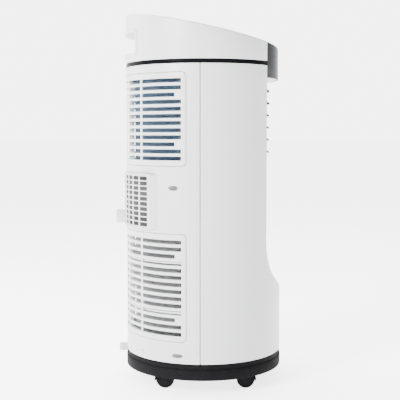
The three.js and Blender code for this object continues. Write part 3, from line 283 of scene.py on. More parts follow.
def moulded(name, tint, roughness, grain, dust, gloss=0.5):
    """Moulded plastic: a fine spark-eroded grain, faint clouding and dust that settles low down."""
    shader = Shader(name)
    cloud = shader.noise(14.0, 4.0)
    height = shader.node("ShaderNodeSeparateXYZ", {}, {0: shader.place()}, output=2)
    settled = (1.0 - height / 0.12).clamped() * shader.ramp(shader.noise(60.0, 5.0), (0.35, 0.0),
                                                            (0.75, 1.0))
    base = shader.mix(cloud * 0.5, rgba(tint, 1.02), rgba(tint, 0.95))
    shaded = shader.mix(settled * dust, base, rgba((0.42, 0.40, 0.37)))
    pebble = shader.noise(2600.0, 2.0)
    scuff = shader.ramp(shader.noise(90.0, 6.0, (1.0, 1.0, 5.0)), (0.58, 0.0), (0.70, 1.0))
    return shader.finish(Base_Color=shaded,
                         Roughness=roughness + cloud * 0.08 + scuff * 0.05 + settled * 0.15,
                         Specular_IOR_Level=gloss, Normal=shader.bump(pebble, grain))


def polished(name, tint, roughness, coat, gloss=0.035):
    """Polished plastic with wipe marks that show only in its gloss."""
    shader = Shader(name)
    wipes = shader.ramp(shader.noise(35.0, 6.0, (1.0, 1.0, 6.0)), (0.45, 0.0), (0.75, 1.0))
    specks = shader.ramp(shader.noise(900.0, 2.0), (0.70, 0.0), (0.78, 1.0))
    base = shader.mix(specks * 0.25, rgba(tint), rgba((0.20, 0.20, 0.21)))
    waviness = shader.noise(28.0, 1.0)
    return shader.finish(Base_Color=base, Roughness=roughness + wipes * 0.07 + specks * 0.1,
                         Coat_Weight=coat,
                         Coat_Roughness=0.04, Specular_IOR_Level=gloss,
                         Normal=shader.bump(waviness, 0.00015, 0.25))


def rolled_metal(name, tint, roughness, metallic):
    """Thin rolled sheet with lengthwise streaks and dull spots."""
    shader = Shader(name)
    streak = shader.noise(420.0, 4.0, (1.0, 1.0, 0.06))
    spots = shader.ramp(shader.noise(70.0, 5.0), (0.55, 0.0), (0.75, 1.0))
    base = shader.mix(streak, rgba(tint, 0.78), rgba(tint, 1.25))
    worn = shader.mix(spots * 0.35, base, rgba((0.30, 0.30, 0.30)))
    return shader.finish(Base_Color=worn, Metallic=metallic, Roughness=roughness + streak * 0.12,
                         Normal=shader.bump(streak, 0.00008, 0.6))


def enamel(name, tint, roughness):
    """Sprayed enamel with orange peel."""
    shader = Shader(name)
    peel = shader.noise(500.0, 2.0)
    cloud = shader.noise(30.0, 4.0)
    base = shader.mix(cloud, rgba(tint, 0.8), rgba(tint, 1.3))
    return shader.finish(Base_Color=base, Roughness=roughness + cloud * 0.15,
                         Normal=shader.bump(peel, 0.0001, 0.6))


def tread_rubber(name, tint):
    """Hard tyre rubber with dust in its grain."""
    shader = Shader(name)
    grain = shader.noise(1500.0, 3.0)
    dust = shader.ramp(shader.noise(120.0, 5.0), (0.45, 0.0), (0.8, 1.0))
    base = shader.mix(dust * 0.012, rgba(tint), rgba((0.20, 0.19, 0.18)))
    return shader.finish(Base_Color=base, Roughness=0.55 + dust * 0.25, Specular_IOR_Level=0.05,
                         Normal=shader.bump(grain, 0.0001, 0.7))


def make_finishes():
    tint = settings("ac_finish")
    return {
        "white_plastic": moulded("white_plastic", tint.white, 0.36, 0.00003, 0.10),
        "black_plastic": moulded("black_plastic", tint.black, 0.60, 0.00008, 0.004, 0.03),
        "dark_grey_plastic": moulded("dark_grey_plastic", tint.dark_grey, 0.42, 0.00005, 0.02, 0.3),
        # The pocket finish is painted shade for recess walls, not a plastic of its own.
        "pocket_painted_shade": moulded("pocket_painted_shade", tint.pocket, 0.60, 0.00006, 0.10),
        "grey_plastic": moulded("grey_plastic", tint.grey, 0.45, 0.00006, 0.15),
        "gloss_black": polished("gloss_black", tint.gloss, 0.25, 0.0, 0.008),
        "smoked_plastic": polished("smoked_plastic", tint.smoke, 0.34, 0.0),
        "blue_fins": rolled_metal("blue_fins", tint.blue, 0.42, 0.35),
        "aluminium_fins": rolled_metal("aluminium_fins", tint.fin, 0.40, 0.55),
        "zinc_steel": rolled_metal("zinc_steel", (0.20, 0.20, 0.21), 0.38, 1.0),
        "copper": rolled_metal("copper", (0.62, 0.27, 0.14), 0.35, 1.0),
        "black_steel": enamel("black_steel", (0.016, 0.016, 0.018), 0.35),
        "wheel_rubber": tread_rubber("wheel_rubber", (0.004, 0.004, 0.0045)),
        "button_mark": polished("button_mark", (0.55, 0.56, 0.58), 0.3, 0.2),
    }


FINISHES = {}


def material(name):
    if not FINISHES:
        FINISHES.update(make_finishes())
    return FINISHES[name]


# ---- Mesh tools ----

def linked(name, data):
    """A new object in the scene that shows the data."""
    obj = bpy.data.objects.new(name, data)
    bpy.context.scene.collection.objects.link(obj)
    return obj


def new_object(name, points, faces):
    mesh = bpy.data.meshes.new(name)
    mesh.from_pydata([tuple(point) for point in points], [], faces)
    return linked(name, mesh)


def tidy(obj, distance=0.00002):
    """Joins doubled points and turns every face outwards."""
    shape = bmesh.new()
    shape.from_mesh(obj.data)
    bmesh.ops.remove_doubles(shape, verts=shape.verts, dist=distance)
    bmesh.ops.dissolve_degenerate(shape, edges=shape.edges, dist=distance / 2)
    bmesh.ops.recalc_face_normals(shape, faces=shape.faces)
    shape.to_mesh(obj.data)
    shape.free()
    return obj


def loft(name, rows, closed=False, cap_start=False, cap_end=False):
    """Skins rows of points that all have the same count."""
    count = len(rows[0])
    points = [point for row in rows for point in row]
    faces = []
    steps = count if closed else count - 1
    for row in range(len(rows) - 1):
        for step in range(steps):
            after = (step + 1) % count
            faces.append((row * count + step, row * count + after, (row + 1) * count + after,
                          (row + 1) * count + step))
    if cap_start:
        faces.append(tuple(reversed(range(count))))
    if cap_end:
        faces.append(tuple(range((len(rows) - 1) * count, len(rows) * count)))
    return tidy(new_object(name, points, faces))


def apply_modifiers(obj):
    """Turns the evaluated object into its own plain mesh."""
    depsgraph = bpy.context.evaluated_depsgraph_get()
    made = bpy.data.meshes.new_from_object(obj.evaluated_get(depsgraph))
    obj.modifiers.clear()
    obj.data = made
    return obj


def thicken(obj, wall, offset=-1.0):
    solid = obj.modifiers.new("wall", "SOLIDIFY")
    solid.thickness = wall
    solid.offset = offset
    solid.use_even_offset = True
    return apply_modifiers(obj)


def bevel(obj, width, segments=2, angle=35.0):
    edge = obj.modifiers.new("edge", "BEVEL")
    edge.width = width
    edge.segments = segments
    edge.limit_method = "ANGLE"
    edge.angle_limit = radians(angle)
    edge.harden_normals = False
    return apply_modifiers(obj)


def combine(obj, other, operation="DIFFERENCE"):
    """Cuts or joins with another closed mesh, which is used up."""
    cut = obj.modifiers.new("cut", "BOOLEAN")
    cut.operation = operation
    cut.solver = "EXACT"
    cut.object = other
    apply_modifiers(obj)
    bpy.data.objects.remove(other)
    return obj


def join(name, parts):
    """Puts several meshes into one object."""
    shape = bmesh.new()
    for part in parts:
        shape.from_mesh(part.data)
        bpy.data.objects.remove(part)
    mesh = bpy.data.meshes.new(name)
    shape.to_mesh(mesh)
    shape.free()
    return linked(name, mesh)


def moved(obj, matrix):
    obj.data.transform(matrix)
    return obj


def settle(obj, finish, body, replaced=(), sharp=32.0):
    """Gives a finished mesh its shading, material, body and slot, and hides the frame nodes it stands for."""
    obj.data.shade_smooth()
    obj.data.set_sharp_from_angle(angle=radians(sharp))
    if not obj.data.materials:
        obj.data.materials.append(material(finish))
        obj.data.polygons.foreach_set("material_index", [0] * len(obj.data.polygons))
    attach(obj, body)
    if replaced:
        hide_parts(*replaced)
    return obj


def block(name, lowest, highest):
    """A plain box used to cut with, or as a core that is bevelled."""
    corners = [(x, y, z) for z in (lowest[2], highest[2]) for y in (lowest[1], highest[1])
               for x in (lowest[0], highest[0])]
    faces = [(0, 2, 3, 1), (4, 5, 7, 6), (0, 1, 5, 4), (2, 6, 7, 3), (0, 4, 6, 2), (1, 3, 7, 5)]
    return new_object(name, corners, faces)


def turn_angles(count):
    return [2 * pi * step / count for step in range(count)]


AXES = {
    "x": Matrix(((0, 0, 1, 0), (1, 0, 0, 0), (0, 1, 0, 0), (0, 0, 0, 1))),
    "y": Matrix(((0, 1, 0, 0), (0, 0, 1, 0), (1, 0, 0, 0), (0, 0, 0, 1))),
    "z": Matrix.Identity(4),
}


def turned(name, outline, axis, centre, count=48, flutes=0, flute_depth=0.0):
    """A turned piece. The outline gives (radius, place along the axis); flutes ripple its side."""
    rows = []
    for radius, along in outline:
        row = []
        for step in range(count):
            angle = 2 * pi * step / count
            rippled = flutes and radius > flute_depth * 4
            ripple = flute_depth * (0.5 - 0.5 * cos(flutes * angle)) if rippled else 0.0
            row.append(((radius - ripple) * cos(angle), (radius - ripple) * sin(angle), along))
        rows.append(row)
    obj = loft(name, rows, closed=True, cap_start=outline[0][0] > 0, cap_end=outline[-1][0] > 0)
    return moved(obj, Matrix.Translation(centre) @ AXES[axis])


def bore_cutter(radius, start, end, axis, centre, count):
    """A round cutter between two places along an axis."""
    return turned("bore", [(radius, start), (radius, end)], axis, centre, count)


def rounded(width, height, corner, centre=(0.0, 0.0), steps=6):
    """Points round a rectangle with round corners."""
    points = []
    for turn, (side, rise) in enumerate(((1, -1), (1, 1), (-1, 1), (-1, -1))):
        middle = (centre[0] + side * (width / 2 - corner), centre[1] + rise * (height / 2 - corner))
        for step in range(steps + 1):
            angle = (turn - 1) * pi / 2 + step * pi / 2 / steps
            points.append((middle[0] + corner * cos(angle), middle[1] + corner * sin(angle)))
    return points


def prism(name, outline, axis, start, end):
    """A closed outline extruded along x (drawn in y, z), y (drawn in x, z) or z (drawn in x, y)."""
    order = {"x": lambda p, d: (d, p[0], p[1]), "y": lambda p, d: (p[0], d, p[1]), "z": lambda p,
             d: (p[0], p[1], d)}
    rows = [[order[axis](point, depth) for point in outline] for depth in (start, end)]
    return loft(name, rows, closed=True, cap_start=True, cap_end=True)


# ---- The body's outline ----

def oval(angle, inset, z):
    return Vector((CENTRE_X + (HALF_DEPTH - inset) * cos(angle), (HALF_WIDTH - inset) * sin(angle), z))


def oval_normal(angle):
    return Vector((cos(angle) / HALF_DEPTH, sin(angle) / HALF_WIDTH, 0.0)).normalized()


def back_x(y, inset=0.0):
    return CENTRE_X - (HALF_DEPTH - inset) * sqrt(max(0.0, 1 - (y / (HALF_WIDTH - inset)) ** 2))


def side_y(x, inset=0.0):
    return (HALF_WIDTH - inset) * sqrt(max(0.0, 1 - ((x - CENTRE_X) / (HALF_DEPTH - inset)) ** 2))


def angle_at(x, inset=0.0):
    """The outline's parameter where its far side passes x, measured from the front."""
    return acos(max(-1.0, min(1.0, (x - CENTRE_X) / (HALF_DEPTH - inset))))


SIDE_STEPS = 44
FLAT_STEPS = 20


def seam_roll(start, turn, inset, z):
    """The rounded upright edge of a cover at the seam, from its inside outwards."""
    points = []
    for along, sink in ((0.45, 1.3), (0.5, 0.7), (0.65, 0.3), (0.95, 0.06), (1.4, 0.0)):
        points.append(oval(start + turn * along * MM / HALF_DEPTH, inset + sink * MM, z))
    return points


def seam_tongue(start, side):
    """The lip of the front cover that lies behind the rear one's edge."""
    rows = []
    for z in (COVER_BOTTOM + 2 * MM, COVER_TOP - 2 * MM):
        ring = [oval(start + along * MM / HALF_DEPTH, sink * MM, z) for along, sink in
                ((-6.0, 2.3), (4.0, 2.7), (4.0, 3.9), (-6.0, 3.9))]
        rows.append([Vector((point.x, side * point.y, point.z)) for point in ring])
    return loft("tongue", rows, closed=True, cap_start=True, cap_end=True)


def section(z, inset, front_x, start):
    """Plan outline from angle -start round the front to +start, cut flat at front_x with soft creases."""
    front = min(front_x, HALF_DEPTH - inset)
    crease = acos(front / (HALF_DEPTH - inset))
    half_flat = (HALF_WIDTH - inset) * sin(crease)
    soft = min(settings("ac_casing").crease, half_flat / 3)
    corner = crease + soft / HALF_WIDTH
    side = [oval(start + (corner - start) * step / SIDE_STEPS, inset, z) for step in range(SIDE_STEPS + 1)]
    if start < pi:
        side = seam_roll(start, -1, inset, z) + side[1:]
    tip = Vector((CENTRE_X + front, half_flat, z))
    flat_start = Vector((CENTRE_X + front, half_flat - soft, z))
    bend = [side[-1].lerp(tip, t).lerp(tip.lerp(flat_start, t), t) for t in (0.33, 0.67)]
    flat = [Vector((CENTRE_X + front, (half_flat - soft) * (1 - 2 * step / FLAT_STEPS), z))
            for step in range(FLAT_STEPS + 1)]
    near = side + bend
    far = [Vector((point.x, -point.y, point.z)) for point in reversed(near)]
    return near + flat + far


def rolled_edge(radius, steps=4):
    """(inset, rise) pairs of a quarter round that comes up from an inner edge to the full outline."""
    return [(radius * (1 - sin(step * pi / 2 / steps)), radius * (1 - cos(step * pi / 2 / steps)))
            for step in range(steps + 1)]


def slope_z(x, inset=0.0):
    fall = tan(settings("ac_casing").slope)
    return HEAD_TOP - fall * (x - low("top_cover", 0)) - inset


# ---- Front cover, rear cover, ring, head and base ----

def sweep_front(z):
    """Where the front of the casing stands at a height."""
    casing = settings("ac_casing")
    foot_top = BASE_TOP + casing.foot_height
    depth = HALF_DEPTH - FACE_X
    rise = sqrt(casing.sweep_radius ** 2 - (casing.sweep_radius - depth) ** 2)
    if z <= foot_top:
        return HALF_DEPTH
    if z >= foot_top + rise:
        return FACE_X
    return FACE_X + casing.sweep_radius - sqrt(casing.sweep_radius ** 2 - (foot_top + rise - z) ** 2)


def outlet_outline(grow):
    size = [span_of("outlet_frame", axis) for axis in (1, 2)]
    middle = [middle_of("outlet_frame", axis) for axis in (1, 2)]
    return rounded(size[0] + 2 * grow, size[1] + 2 * grow, 3.5 * MM + grow, middle)


def build_front_cover():
    casing = settings("ac_casing")
    edge = rolled_edge(casing.edge)
    foot_top = BASE_TOP + casing.foot_height
    depth = HALF_DEPTH - FACE_X
    rise = sqrt(casing.sweep_radius ** 2 - (casing.sweep_radius - depth) ** 2)
    levels = [(COVER_BOTTOM + up, inset) for inset, up in edge]
    levels += [(foot_top - 0.01, 0.0), (foot_top - 0.1 * MM, 0.0)]
    levels += [(foot_top + rise * step / 26, 0.0) for step in range(1, 27)]
    levels += [(z, 0.0) for z in (low("outlet_frame", 2) - 0.01, VISOR_BOTTOM)]
    levels += [(COVER_TOP - up, inset) for inset, up in reversed(edge)]
    start = angle_at(CENTRE_X + SEAM_X)
    rows = [section(z, inset, min(sweep_front(z), FACE_X if z > foot_top + rise else HALF_DEPTH) - inset,
                    start)
            for z, inset in levels]
    cover = thicken(loft("front_cover_shell", rows), casing.wall)
    face = CENTRE_X + FACE_X
    combine(cover, prism("outlet_cut", outlet_outline(0.4 * MM), "x", face - OUTLET_CUT, face + OUTLET_CUT))
    cover = join("front_cover_shell", [cover] + [seam_tongue(start, side) for side in (1, -1)])
    settle(cover, "white_plastic", "casing", replaced=["front_cover"])


def grille_span(which):
    return low(f"{which}_grille", 2), high(f"{which}_grille", 2), high(f"{which}_grille", 0)


def window_cutter(which):
    """The opening of a grille, drawn in x and z and cut right across the back."""
    bottom, top, front = grille_span(which)
    gap = settings("ac_grille").gap
    reach = 2 * HALF_DEPTH
    outline = rounded(reach, top - bottom + 2 * gap, settings("ac_grille").corner,
                      (front + gap - reach / 2, (top + bottom) / 2))
    return prism("window_cut", outline, "y", -2 * HALF_WIDTH, 2 * HALF_WIDTH)


def boss_outline(inset, corner=6 * MM):
    node = "exhaust_housing"
    size = [span_of(node, axis) - 2 * inset for axis in (1, 2)]
    middle = [middle_of(node, axis) for axis in (1, 2)]
    return rounded(size[0], size[1], max(corner - inset, 1.0 * MM), middle)


SCREWS = ("upper_left", "upper_right", "lower_left", "lower_right")


def screw_seat(name):
    """Middle of a cover screw's head, its seat and its pocket radius."""
    node = f"cover_screw_{name}"
    y = middle_of(node, 1)
    z = middle_of(node, 2)
    radius = span_of(node, 2) / 2 + 0.4 * MM
    return low(node, 0) + 2.6 * MM, y, z, radius


BACK_HOLE = {"x": -96.5 * MM, "y": 101.7 * MM, "z": 68.2 * MM, "radius": 2.3 * MM}


def shade_pockets(cover):
    """Paints the walls of the screw pockets darker: painted shade standing in for the shadow inside these
    recesses.
    """
    cover.data.materials.append(material("pocket_painted_shade"))
    pockets = [screw_seat(name) for name in SCREWS]
    for face in cover.data.polygons:
        for x, y, z, radius in pockets:
            off_axis = hypot(face.center.y - y, face.center.z - z)
            # Faces inside a pocket's bore get the darker colour: painted shade.
            if off_axis < radius + 0.1 * MM and face.center.x < x + 1 * MM:
                face.material_index = 1


def build_rear_cover():
    casing = settings("ac_casing")
    edge = rolled_edge(casing.edge)
    start = angle_at(high("rear_cover", 0))
    levels = [(COVER_BOTTOM + up, inset) for inset, up in edge]
    levels += [(COVER_TOP - up, inset) for inset, up in reversed(edge)]
    steps = 96
    rows = []
    for z, inset in levels:
        row = [oval(start + (2 * pi - 2 * start) * step / steps, inset, z) for step in range(1, steps)]
        near = seam_roll(start, 1, inset, z)
        far = [Vector((point.x, -point.y, point.z)) for point in reversed(near)]
        rows.append(near + row + far)
    cover = thicken(loft("rear_cover_shell", rows), casing.wall)
    for name in SCREWS:
        x, y, z, radius = screw_seat(name)
        side = 1 if y > 0 else -1
        half = radius + 2 * MM
        inner, outer = y - side * half, side * (side_y(x - 3 * MM) - 0.7 * MM)
        ends = sorted((inner, outer))
        housing = block("screw_housing", (x - 26 * MM, ends[0], z - half), (x + 8 * MM, ends[1], z + half))
        limit = prism("limit", [tuple(oval(2 * pi * s / 96, casing.wall / 2, 0).xy) for s in range(96)],
                      "z",
                      z - 2 * half, z + 2 * half)
        combine(housing, limit, "INTERSECT")
        combine(cover, housing, "UNION")
        combine(cover, bore_cutter(radius, -BORE_REACH, 0.0, "x", (x, y, z), 32))
    combine(cover, window_cutter("upper"))
    combine(cover, window_cutter("lower"))
    combine(cover, prism("boss_cut", boss_outline(-0.5 * MM), "x", -CUT_REACH, CENTRE_X))
    for which in ("upper", "lower"):
        node = f"{which}_drain_spout"
        centre = (low(node, 0), middle_of(node, 1), middle_of(node, 2))
        radius = span_of(node, 2) / 2 - 1 * MM
        combine(cover, bore_cutter(radius, 0.0, 0.08, "x", centre, 32))
    for side in (-1, 1):
        place = (BACK_HOLE["x"], side * BACK_HOLE["y"], BACK_HOLE["z"])
        hole = bore_cutter(BACK_HOLE["radius"], -BORE_REACH, 0.0, "x", place, 20)
        combine(cover, hole)
    settle(cover, "white_plastic", "casing", replaced=["rear_cover"])
    shade_pockets(cover)


def build_ring():
    casing = settings("ac_casing")
    edge = rolled_edge(0.35 * MM, 2)
    levels = [(RING_BOTTOM + up, inset + 0.15 * MM) for inset, up in edge]
    levels += [(RING_TOP - up, inset + 0.15 * MM) for inset, up in reversed(edge)]
    rows = [section(z, inset, FACE_X - inset, pi)[:-1] for z, inset in levels]
    ring = thicken(loft("trim_ring_band", rows, closed=True), casing.wall + 1 * MM)
    settle(ring, "gloss_black", "casing", replaced=["trim_ring"])


def on_slope(lift=0.0):
    """Matrix that lays a piece drawn about the control panel's middle onto the sloping top."""
    slope = settings("ac_casing").slope
    x = middle_of("control_panel", 0)
    x += 0.5 * 2.4 * MM * sin(slope)
    normal = Vector((sin(slope), 0.0, cos(slope)))
    return Matrix.Translation(Vector((x, 0.0, slope_z(x))) + normal * lift) @ Matrix.Rotation(slope, 4, "Y")


def panel_size():
    slope = settings("ac_casing").slope
    return span_of("control_panel", 0) / cos(slope), 2 * high("control_panel", 1)


def handle_outline(inset):
    node = "handle_cup"
    size = [span_of(node, axis) - 2 * inset for axis in (1, 2)]
    middle = [0.0, middle_of(node, 2)]
    return rounded(size[0], size[1], max(8 * MM - inset, 2 * MM), middle, 8)


def build_head():
    casing = settings("ac_casing")
    bottom = [(inset, up) for inset, up in rolled_edge(casing.edge)]
    rows = [section(HEAD_BOTTOM + up, inset, FACE_X - inset, pi)[:-1] for inset, up in bottom]
    for inset, up in reversed(rolled_edge(casing.head_edge, 6)):
        row = section(0.0, inset, FACE_X - inset, pi)[:-1]
        rows.append([Vector((point.x, point.y, slope_z(point.x) - up)) for point in row])
    rim = rows[-1]
    centre = Vector((CENTRE_X, 0.0, 0.0))
    for share in (0.9, 0.75, 0.5, 0.25, 0.0):
        ring = []
        for point in rim:
            spot = centre.lerp(Vector((point.x, point.y, 0.0)), share)
            ring.append(Vector((spot.x, spot.y, slope_z(spot.x))))
        rows.append(ring)
    head = thicken(loft("top_cover_shell", rows, closed=True), casing.wall)
    cut_end = low("handle_cup", 0) + HANDLE_CUT_DEPTH
    combine(head, prism("handle_cut", handle_outline(-0.4 * MM), "x", -CUT_REACH, cut_end))
    length_x, width_y = panel_size()
    panel = prism("panel_cut", rounded(length_x + 0.7 * MM, width_y + 0.7 * MM, 10.3 * MM), "z", -5 * MM,
                  5 * MM)
    combine(head, moved(panel, on_slope()))
    settle(head, "white_plastic", "casing", replaced=["top_cover"])


def build_handle():
    """A deep finger cup with a rolled lip that stands a little proud of the head."""
    floor_x = high("handle_cup", 0) - 2 * MM
    lip = 1.1 * MM
    levels = [(-2.0, 0.4), (-1.9, -0.5), (-1.2, -1.0), (0.0, -1.15), (1.2, -0.9), (2.0, -0.1), (2.3, 1.4)]
    rows = []
    for inset, depth in levels:
        rows.append([Vector((back_x(y) + depth * MM / 1.15 * (lip / MM), y, z))
                     for y, z in dense(handle_outline(inset * MM), 18)])
    for inset, back in ((2.5, 5.0), (3.2, 2.0), (4.6, 0.6), (7.0, 0.0)):
        rows.append([Vector((max(floor_x - back * MM, back_x(y) + 1.6 * MM), y, z))
                     for y, z in dense(handle_outline(inset * MM), 18)])
    cup = thicken(loft("handle_cup_liner", rows, closed=True, cap_end=True), 1.4 * MM, 1.0)
    settle(cup, "white_plastic", "casing", replaced=["handle_cup"])


def build_base():
    casing = settings("ac_casing")
    skirt_top = BASE_TOP - casing.band_height
    proud = -casing.skirt_proud
    rows = [(proud + 3.0 * MM, FLOOR_GAP + 3 * MM), (proud + 3.0 * MM, FLOOR_GAP + 0.3 * MM),
            (proud + 2.6 * MM, FLOOR_GAP), (proud + 0.9 * MM, FLOOR_GAP),
            (proud + 0.3 * MM, FLOOR_GAP + 0.3 * MM),
            (proud, FLOOR_GAP + 0.9 * MM), (proud, skirt_top - 0.9 * MM),
            (proud + 0.3 * MM, skirt_top - 0.25 * MM),
            (proud + 0.9 * MM, skirt_top), (casing.band_inset, skirt_top),
            (casing.band_inset, skirt_top + 0.2 * MM),
            (casing.band_inset + 0.1 * MM, BASE_TOP - 0.4 * MM), (casing.band_inset + 0.6 * MM, BASE_TOP),
            (casing.band_inset + 3 * MM, BASE_TOP), (casing.band_inset + 3 * MM, skirt_top)]
    count = 144
    shell = loft("base_skirt", [[oval(2 * pi * step / count, inset, z) for step in range(count)]
                                for inset, z in rows], closed=True)
    deck_top = skirt_top - 3 * MM
    deck = prism("base_deck", [tuple(oval(2 * pi * step / count, 2.0 * MM, 0).xy) for step in range(count)],
                 "z",
                 deck_top - 3 * MM, deck_top)
    pan = join("base_pan_moulding", [shell, deck])
    settle(pan, "black_plastic", "casing", replaced=["base_pan"])


# ---- Visor, control panel and buttons ----

def visor_rows(levels):
    """Plan outlines of the visor, a shallow segment ahead of the flat face."""
    reach = high("visor", 0) - CENTRE_X - FACE_X
    radius = settings("ac_casing").visor_radius
    back = CENTRE_X + FACE_X + 0.4 * MM
    rows = []
    for inset, up in levels:
        centre = CENTRE_X + FACE_X + reach - radius
        arc = radius - inset
        half = acos(min(1.0, (back - centre) / arc))
        steps = 40
        row = [(centre + arc * cos(-half + 2 * half * step / steps),
                arc * sin(-half + 2 * half * step / steps))
               for step in range(steps + 1)]
        rows.append([Vector((x, y, up(x))) for x, y in row])
    return rows


def build_visor():
    edge = 1.4 * MM
    levels = [(inset, lambda x, up=up: VISOR_BOTTOM + up) for inset, up in rolled_edge(0.7 * MM, 3)]
    levels += [(inset, lambda x, up=up: slope_z(x) - up) for inset,
               up in reversed(rolled_edge(edge * 2.2, 6))]
    rows = visor_rows(levels)
    rim = rows[-1]
    back = CENTRE_X + FACE_X + 0.4 * MM
    for share in (0.66, 0.33, 0.0):
        rows.append([Vector((back + (p.x - back) * share, p.y, slope_z(back + (p.x - back) * share)))
                     for p in rim])
    lens = thicken(loft("visor_lens", rows), 2.2 * MM)
    settle(lens, "smoked_plastic", "casing", replaced=["visor"])
    inner = 2.5 * MM
    levels = [(inner + inset, lambda x, up=up: VISOR_BOTTOM + 0.3 * MM + up) for inset,
              up in rolled_edge(0.8 * MM, 3)]
    levels += [(inner, lambda x: VISOR_BOTTOM + 3 * MM)]
    rows = visor_rows(levels)
    middle = [Vector((back, p.y, VISOR_BOTTOM + 0.3 * MM)) for p in rows[0]]
    tray = thicken(loft("visor_tray", [middle] + rows), 1.6 * MM)
    rear = block("rear", (back, -TRAY_HALF_WIDTH, VISOR_BOTTOM + 0.4 * MM),
                 (back + 2 * MM, TRAY_HALF_WIDTH, slope_z(back) - 5 * MM))
    carrier = join("visor_tray_moulding", [tray, bevel(rear, 0.4 * MM)])
    settle(carrier, "white_plastic", "casing", replaced=["visor_carrier"])


def build_controls():
    length_x, width_y = panel_size()
    plate = prism("control_panel_plate", rounded(length_x, width_y, 10 * MM, steps=10), "z", -2.4 * MM,
                  -0.05 * MM)
    for name in BUTTONS:
        y = middle_of(name, 1)
        combine(plate, bore_cutter(6.3 * MM, -0.01, 0.01, "z", (0.0, y, 0.0), 40))
    bevel(plate, 0.35 * MM, 3)
    settle(moved(plate, on_slope()), "gloss_black", "casing", replaced=["control_panel"])
    for name in BUTTONS:
        build_button(name)


BUTTON_MARKS = {"power": "ring", "mode": "bars", "speed": "cross", "timer": "dot", "cooler": "down",
                "warmer": "up"}


def mark_parts(kind):
    """Generic raised marks: a ring, bars, a cross, a dot and arrowheads."""
    rise, thick = 1.2 * MM, 0.16 * MM
    if kind == "ring":
        outline = [(1.6 * MM, rise - 0.1 * MM), (1.6 * MM, rise + thick), (2.2 * MM, rise + thick),
                   (2.2 * MM, rise - 0.1 * MM)]
        rows = [[(r * cos(a), r * sin(a), z) for a in turn_angles(28)] for r, z in outline]
        return [loft("mark", rows, closed=True)]
    if kind == "dot":
        return [turned("mark", [(1.0 * MM, rise - 0.1 * MM), (1.0 * MM, rise + thick), (0.0, rise + thick)],
                       "z", (0, 0, 0), 20)]
    strokes = {"bars": [((-1.2, 0), 0.0, 3.2), ((0.0, 0), 0.0, 3.2), ((1.2, 0), 0.0, 3.2)],
               "cross": [((0, 0), 0.0, 4.2), ((0, 0), 60.0, 4.2), ((0, 0), -60.0, 4.2)],
               "up": [((-0.2, 0.9), 45.0, 2.8), ((-0.2, -0.9), -45.0, 2.8)],
               "down": [((0.2, 0.9), -45.0, 2.8), ((0.2, -0.9), 45.0, 2.8)]}[kind]
    parts = []
    for (x, y), turn, size in strokes:
        stroke = block("mark", (-0.25 * MM, -size / 2 * MM, rise - 0.1 * MM),
                       (0.25 * MM, size / 2 * MM, rise + thick))
        place = Matrix.Translation((x * MM, y * MM, 0)) @ Matrix.Rotation(radians(turn), 4, "Z")
        parts.append(moved(stroke, place))
    return parts


def build_button(name):
    y = middle_of(name, 1)
    outline = [(0.0, -3.7), (7.2, -3.7), (7.3, -3.5), (7.3, -2.8), (6.0, -2.7), (6.0, 0.55), (5.8, 0.95),
               (5.4, 1.15),
               (4.6, 1.18), (2.5, 1.08), (0.0, 1.0)]
    cap = turned(f"{name}_cap", [(r * MM, z * MM) for r, z in outline], "z", (0, 0, 0), 40)
    mark = join("mark", mark_parts(BUTTON_MARKS[name.split("_")[0]]))
    cap.data.materials.append(material("dark_grey_plastic"))
    first_mark = len(cap.data.polygons)
    whole = join(f"{name}_cap", [cap, mark])
    whole.data.materials.append(material("dark_grey_plastic"))
    whole.data.materials.append(material("button_mark"))
    for polygon in whole.data.polygons:
        polygon.material_index = int(polygon.index >= first_mark)
    place = on_slope() @ Matrix.Translation((0.0, y, 0.0))
    settle(moved(whole, place), "dark_grey_plastic", name, replaced=[name])


# ---- Geometry Nodes that repeat a piece ----

class Tree:
    """A Geometry Nodes tree with named inputs that ends in realized, finished geometry."""

    def __init__(self, name):
        self.tree = bpy.data.node_groups.new(name, "GeometryNodeTree")
        self.tree.interface.new_socket("Geometry", in_out="INPUT", socket_type="NodeSocketGeometry")
        self.tree.interface.new_socket("Geometry", in_out="OUTPUT", socket_type="NodeSocketGeometry")
        self.values = {}
        self.identifiers = {}
        self.start = None

    def value(self, name, kind, default):
        socket = self.tree.interface.new_socket(name, in_out="INPUT", socket_type=kind)
        socket.default_value = default
        self.values[name] = default
        self.identifiers[name] = socket.identifier

    def begin(self):
        self.start = self.tree.nodes.new("NodeGroupInput")

    def input(self, name):
        return self.start.outputs[name]

    def node(self, kind, options=None, **sockets):
        made = self.tree.nodes.new(kind)
        for option, value in (options or {}).items():
            setattr(made, option, value)
        for name, value in sockets.items():
            socket = made.inputs[name.replace("_", " ")]
            if hasattr(value, "is_output"):
                self.tree.links.new(value, socket)
            else:
                socket.default_value = value
        return made

    def end(self, geometry, finish):
        realized = self.node("GeometryNodeRealizeInstances", Geometry=geometry)
        painted = self.node("GeometryNodeSetMaterial", Geometry=realized.outputs[0],
                            Material=material(finish))
        output = self.tree.nodes.new("NodeGroupOutput")
        self.tree.links.new(painted.outputs[0], output.inputs[0])

    def attach(self, obj, chosen):
        """Puts the tree on an object and sets its inputs before anything is evaluated."""
        modifier = obj.modifiers.new("repeat", "NODES")
        modifier.node_group = self.tree
        for name, identifier in self.identifiers.items():
            modifier[identifier] = chosen.get(name, self.values[name])

    def run(self, obj, **chosen):
        self.attach(obj, chosen)
        return apply_modifiers(obj)


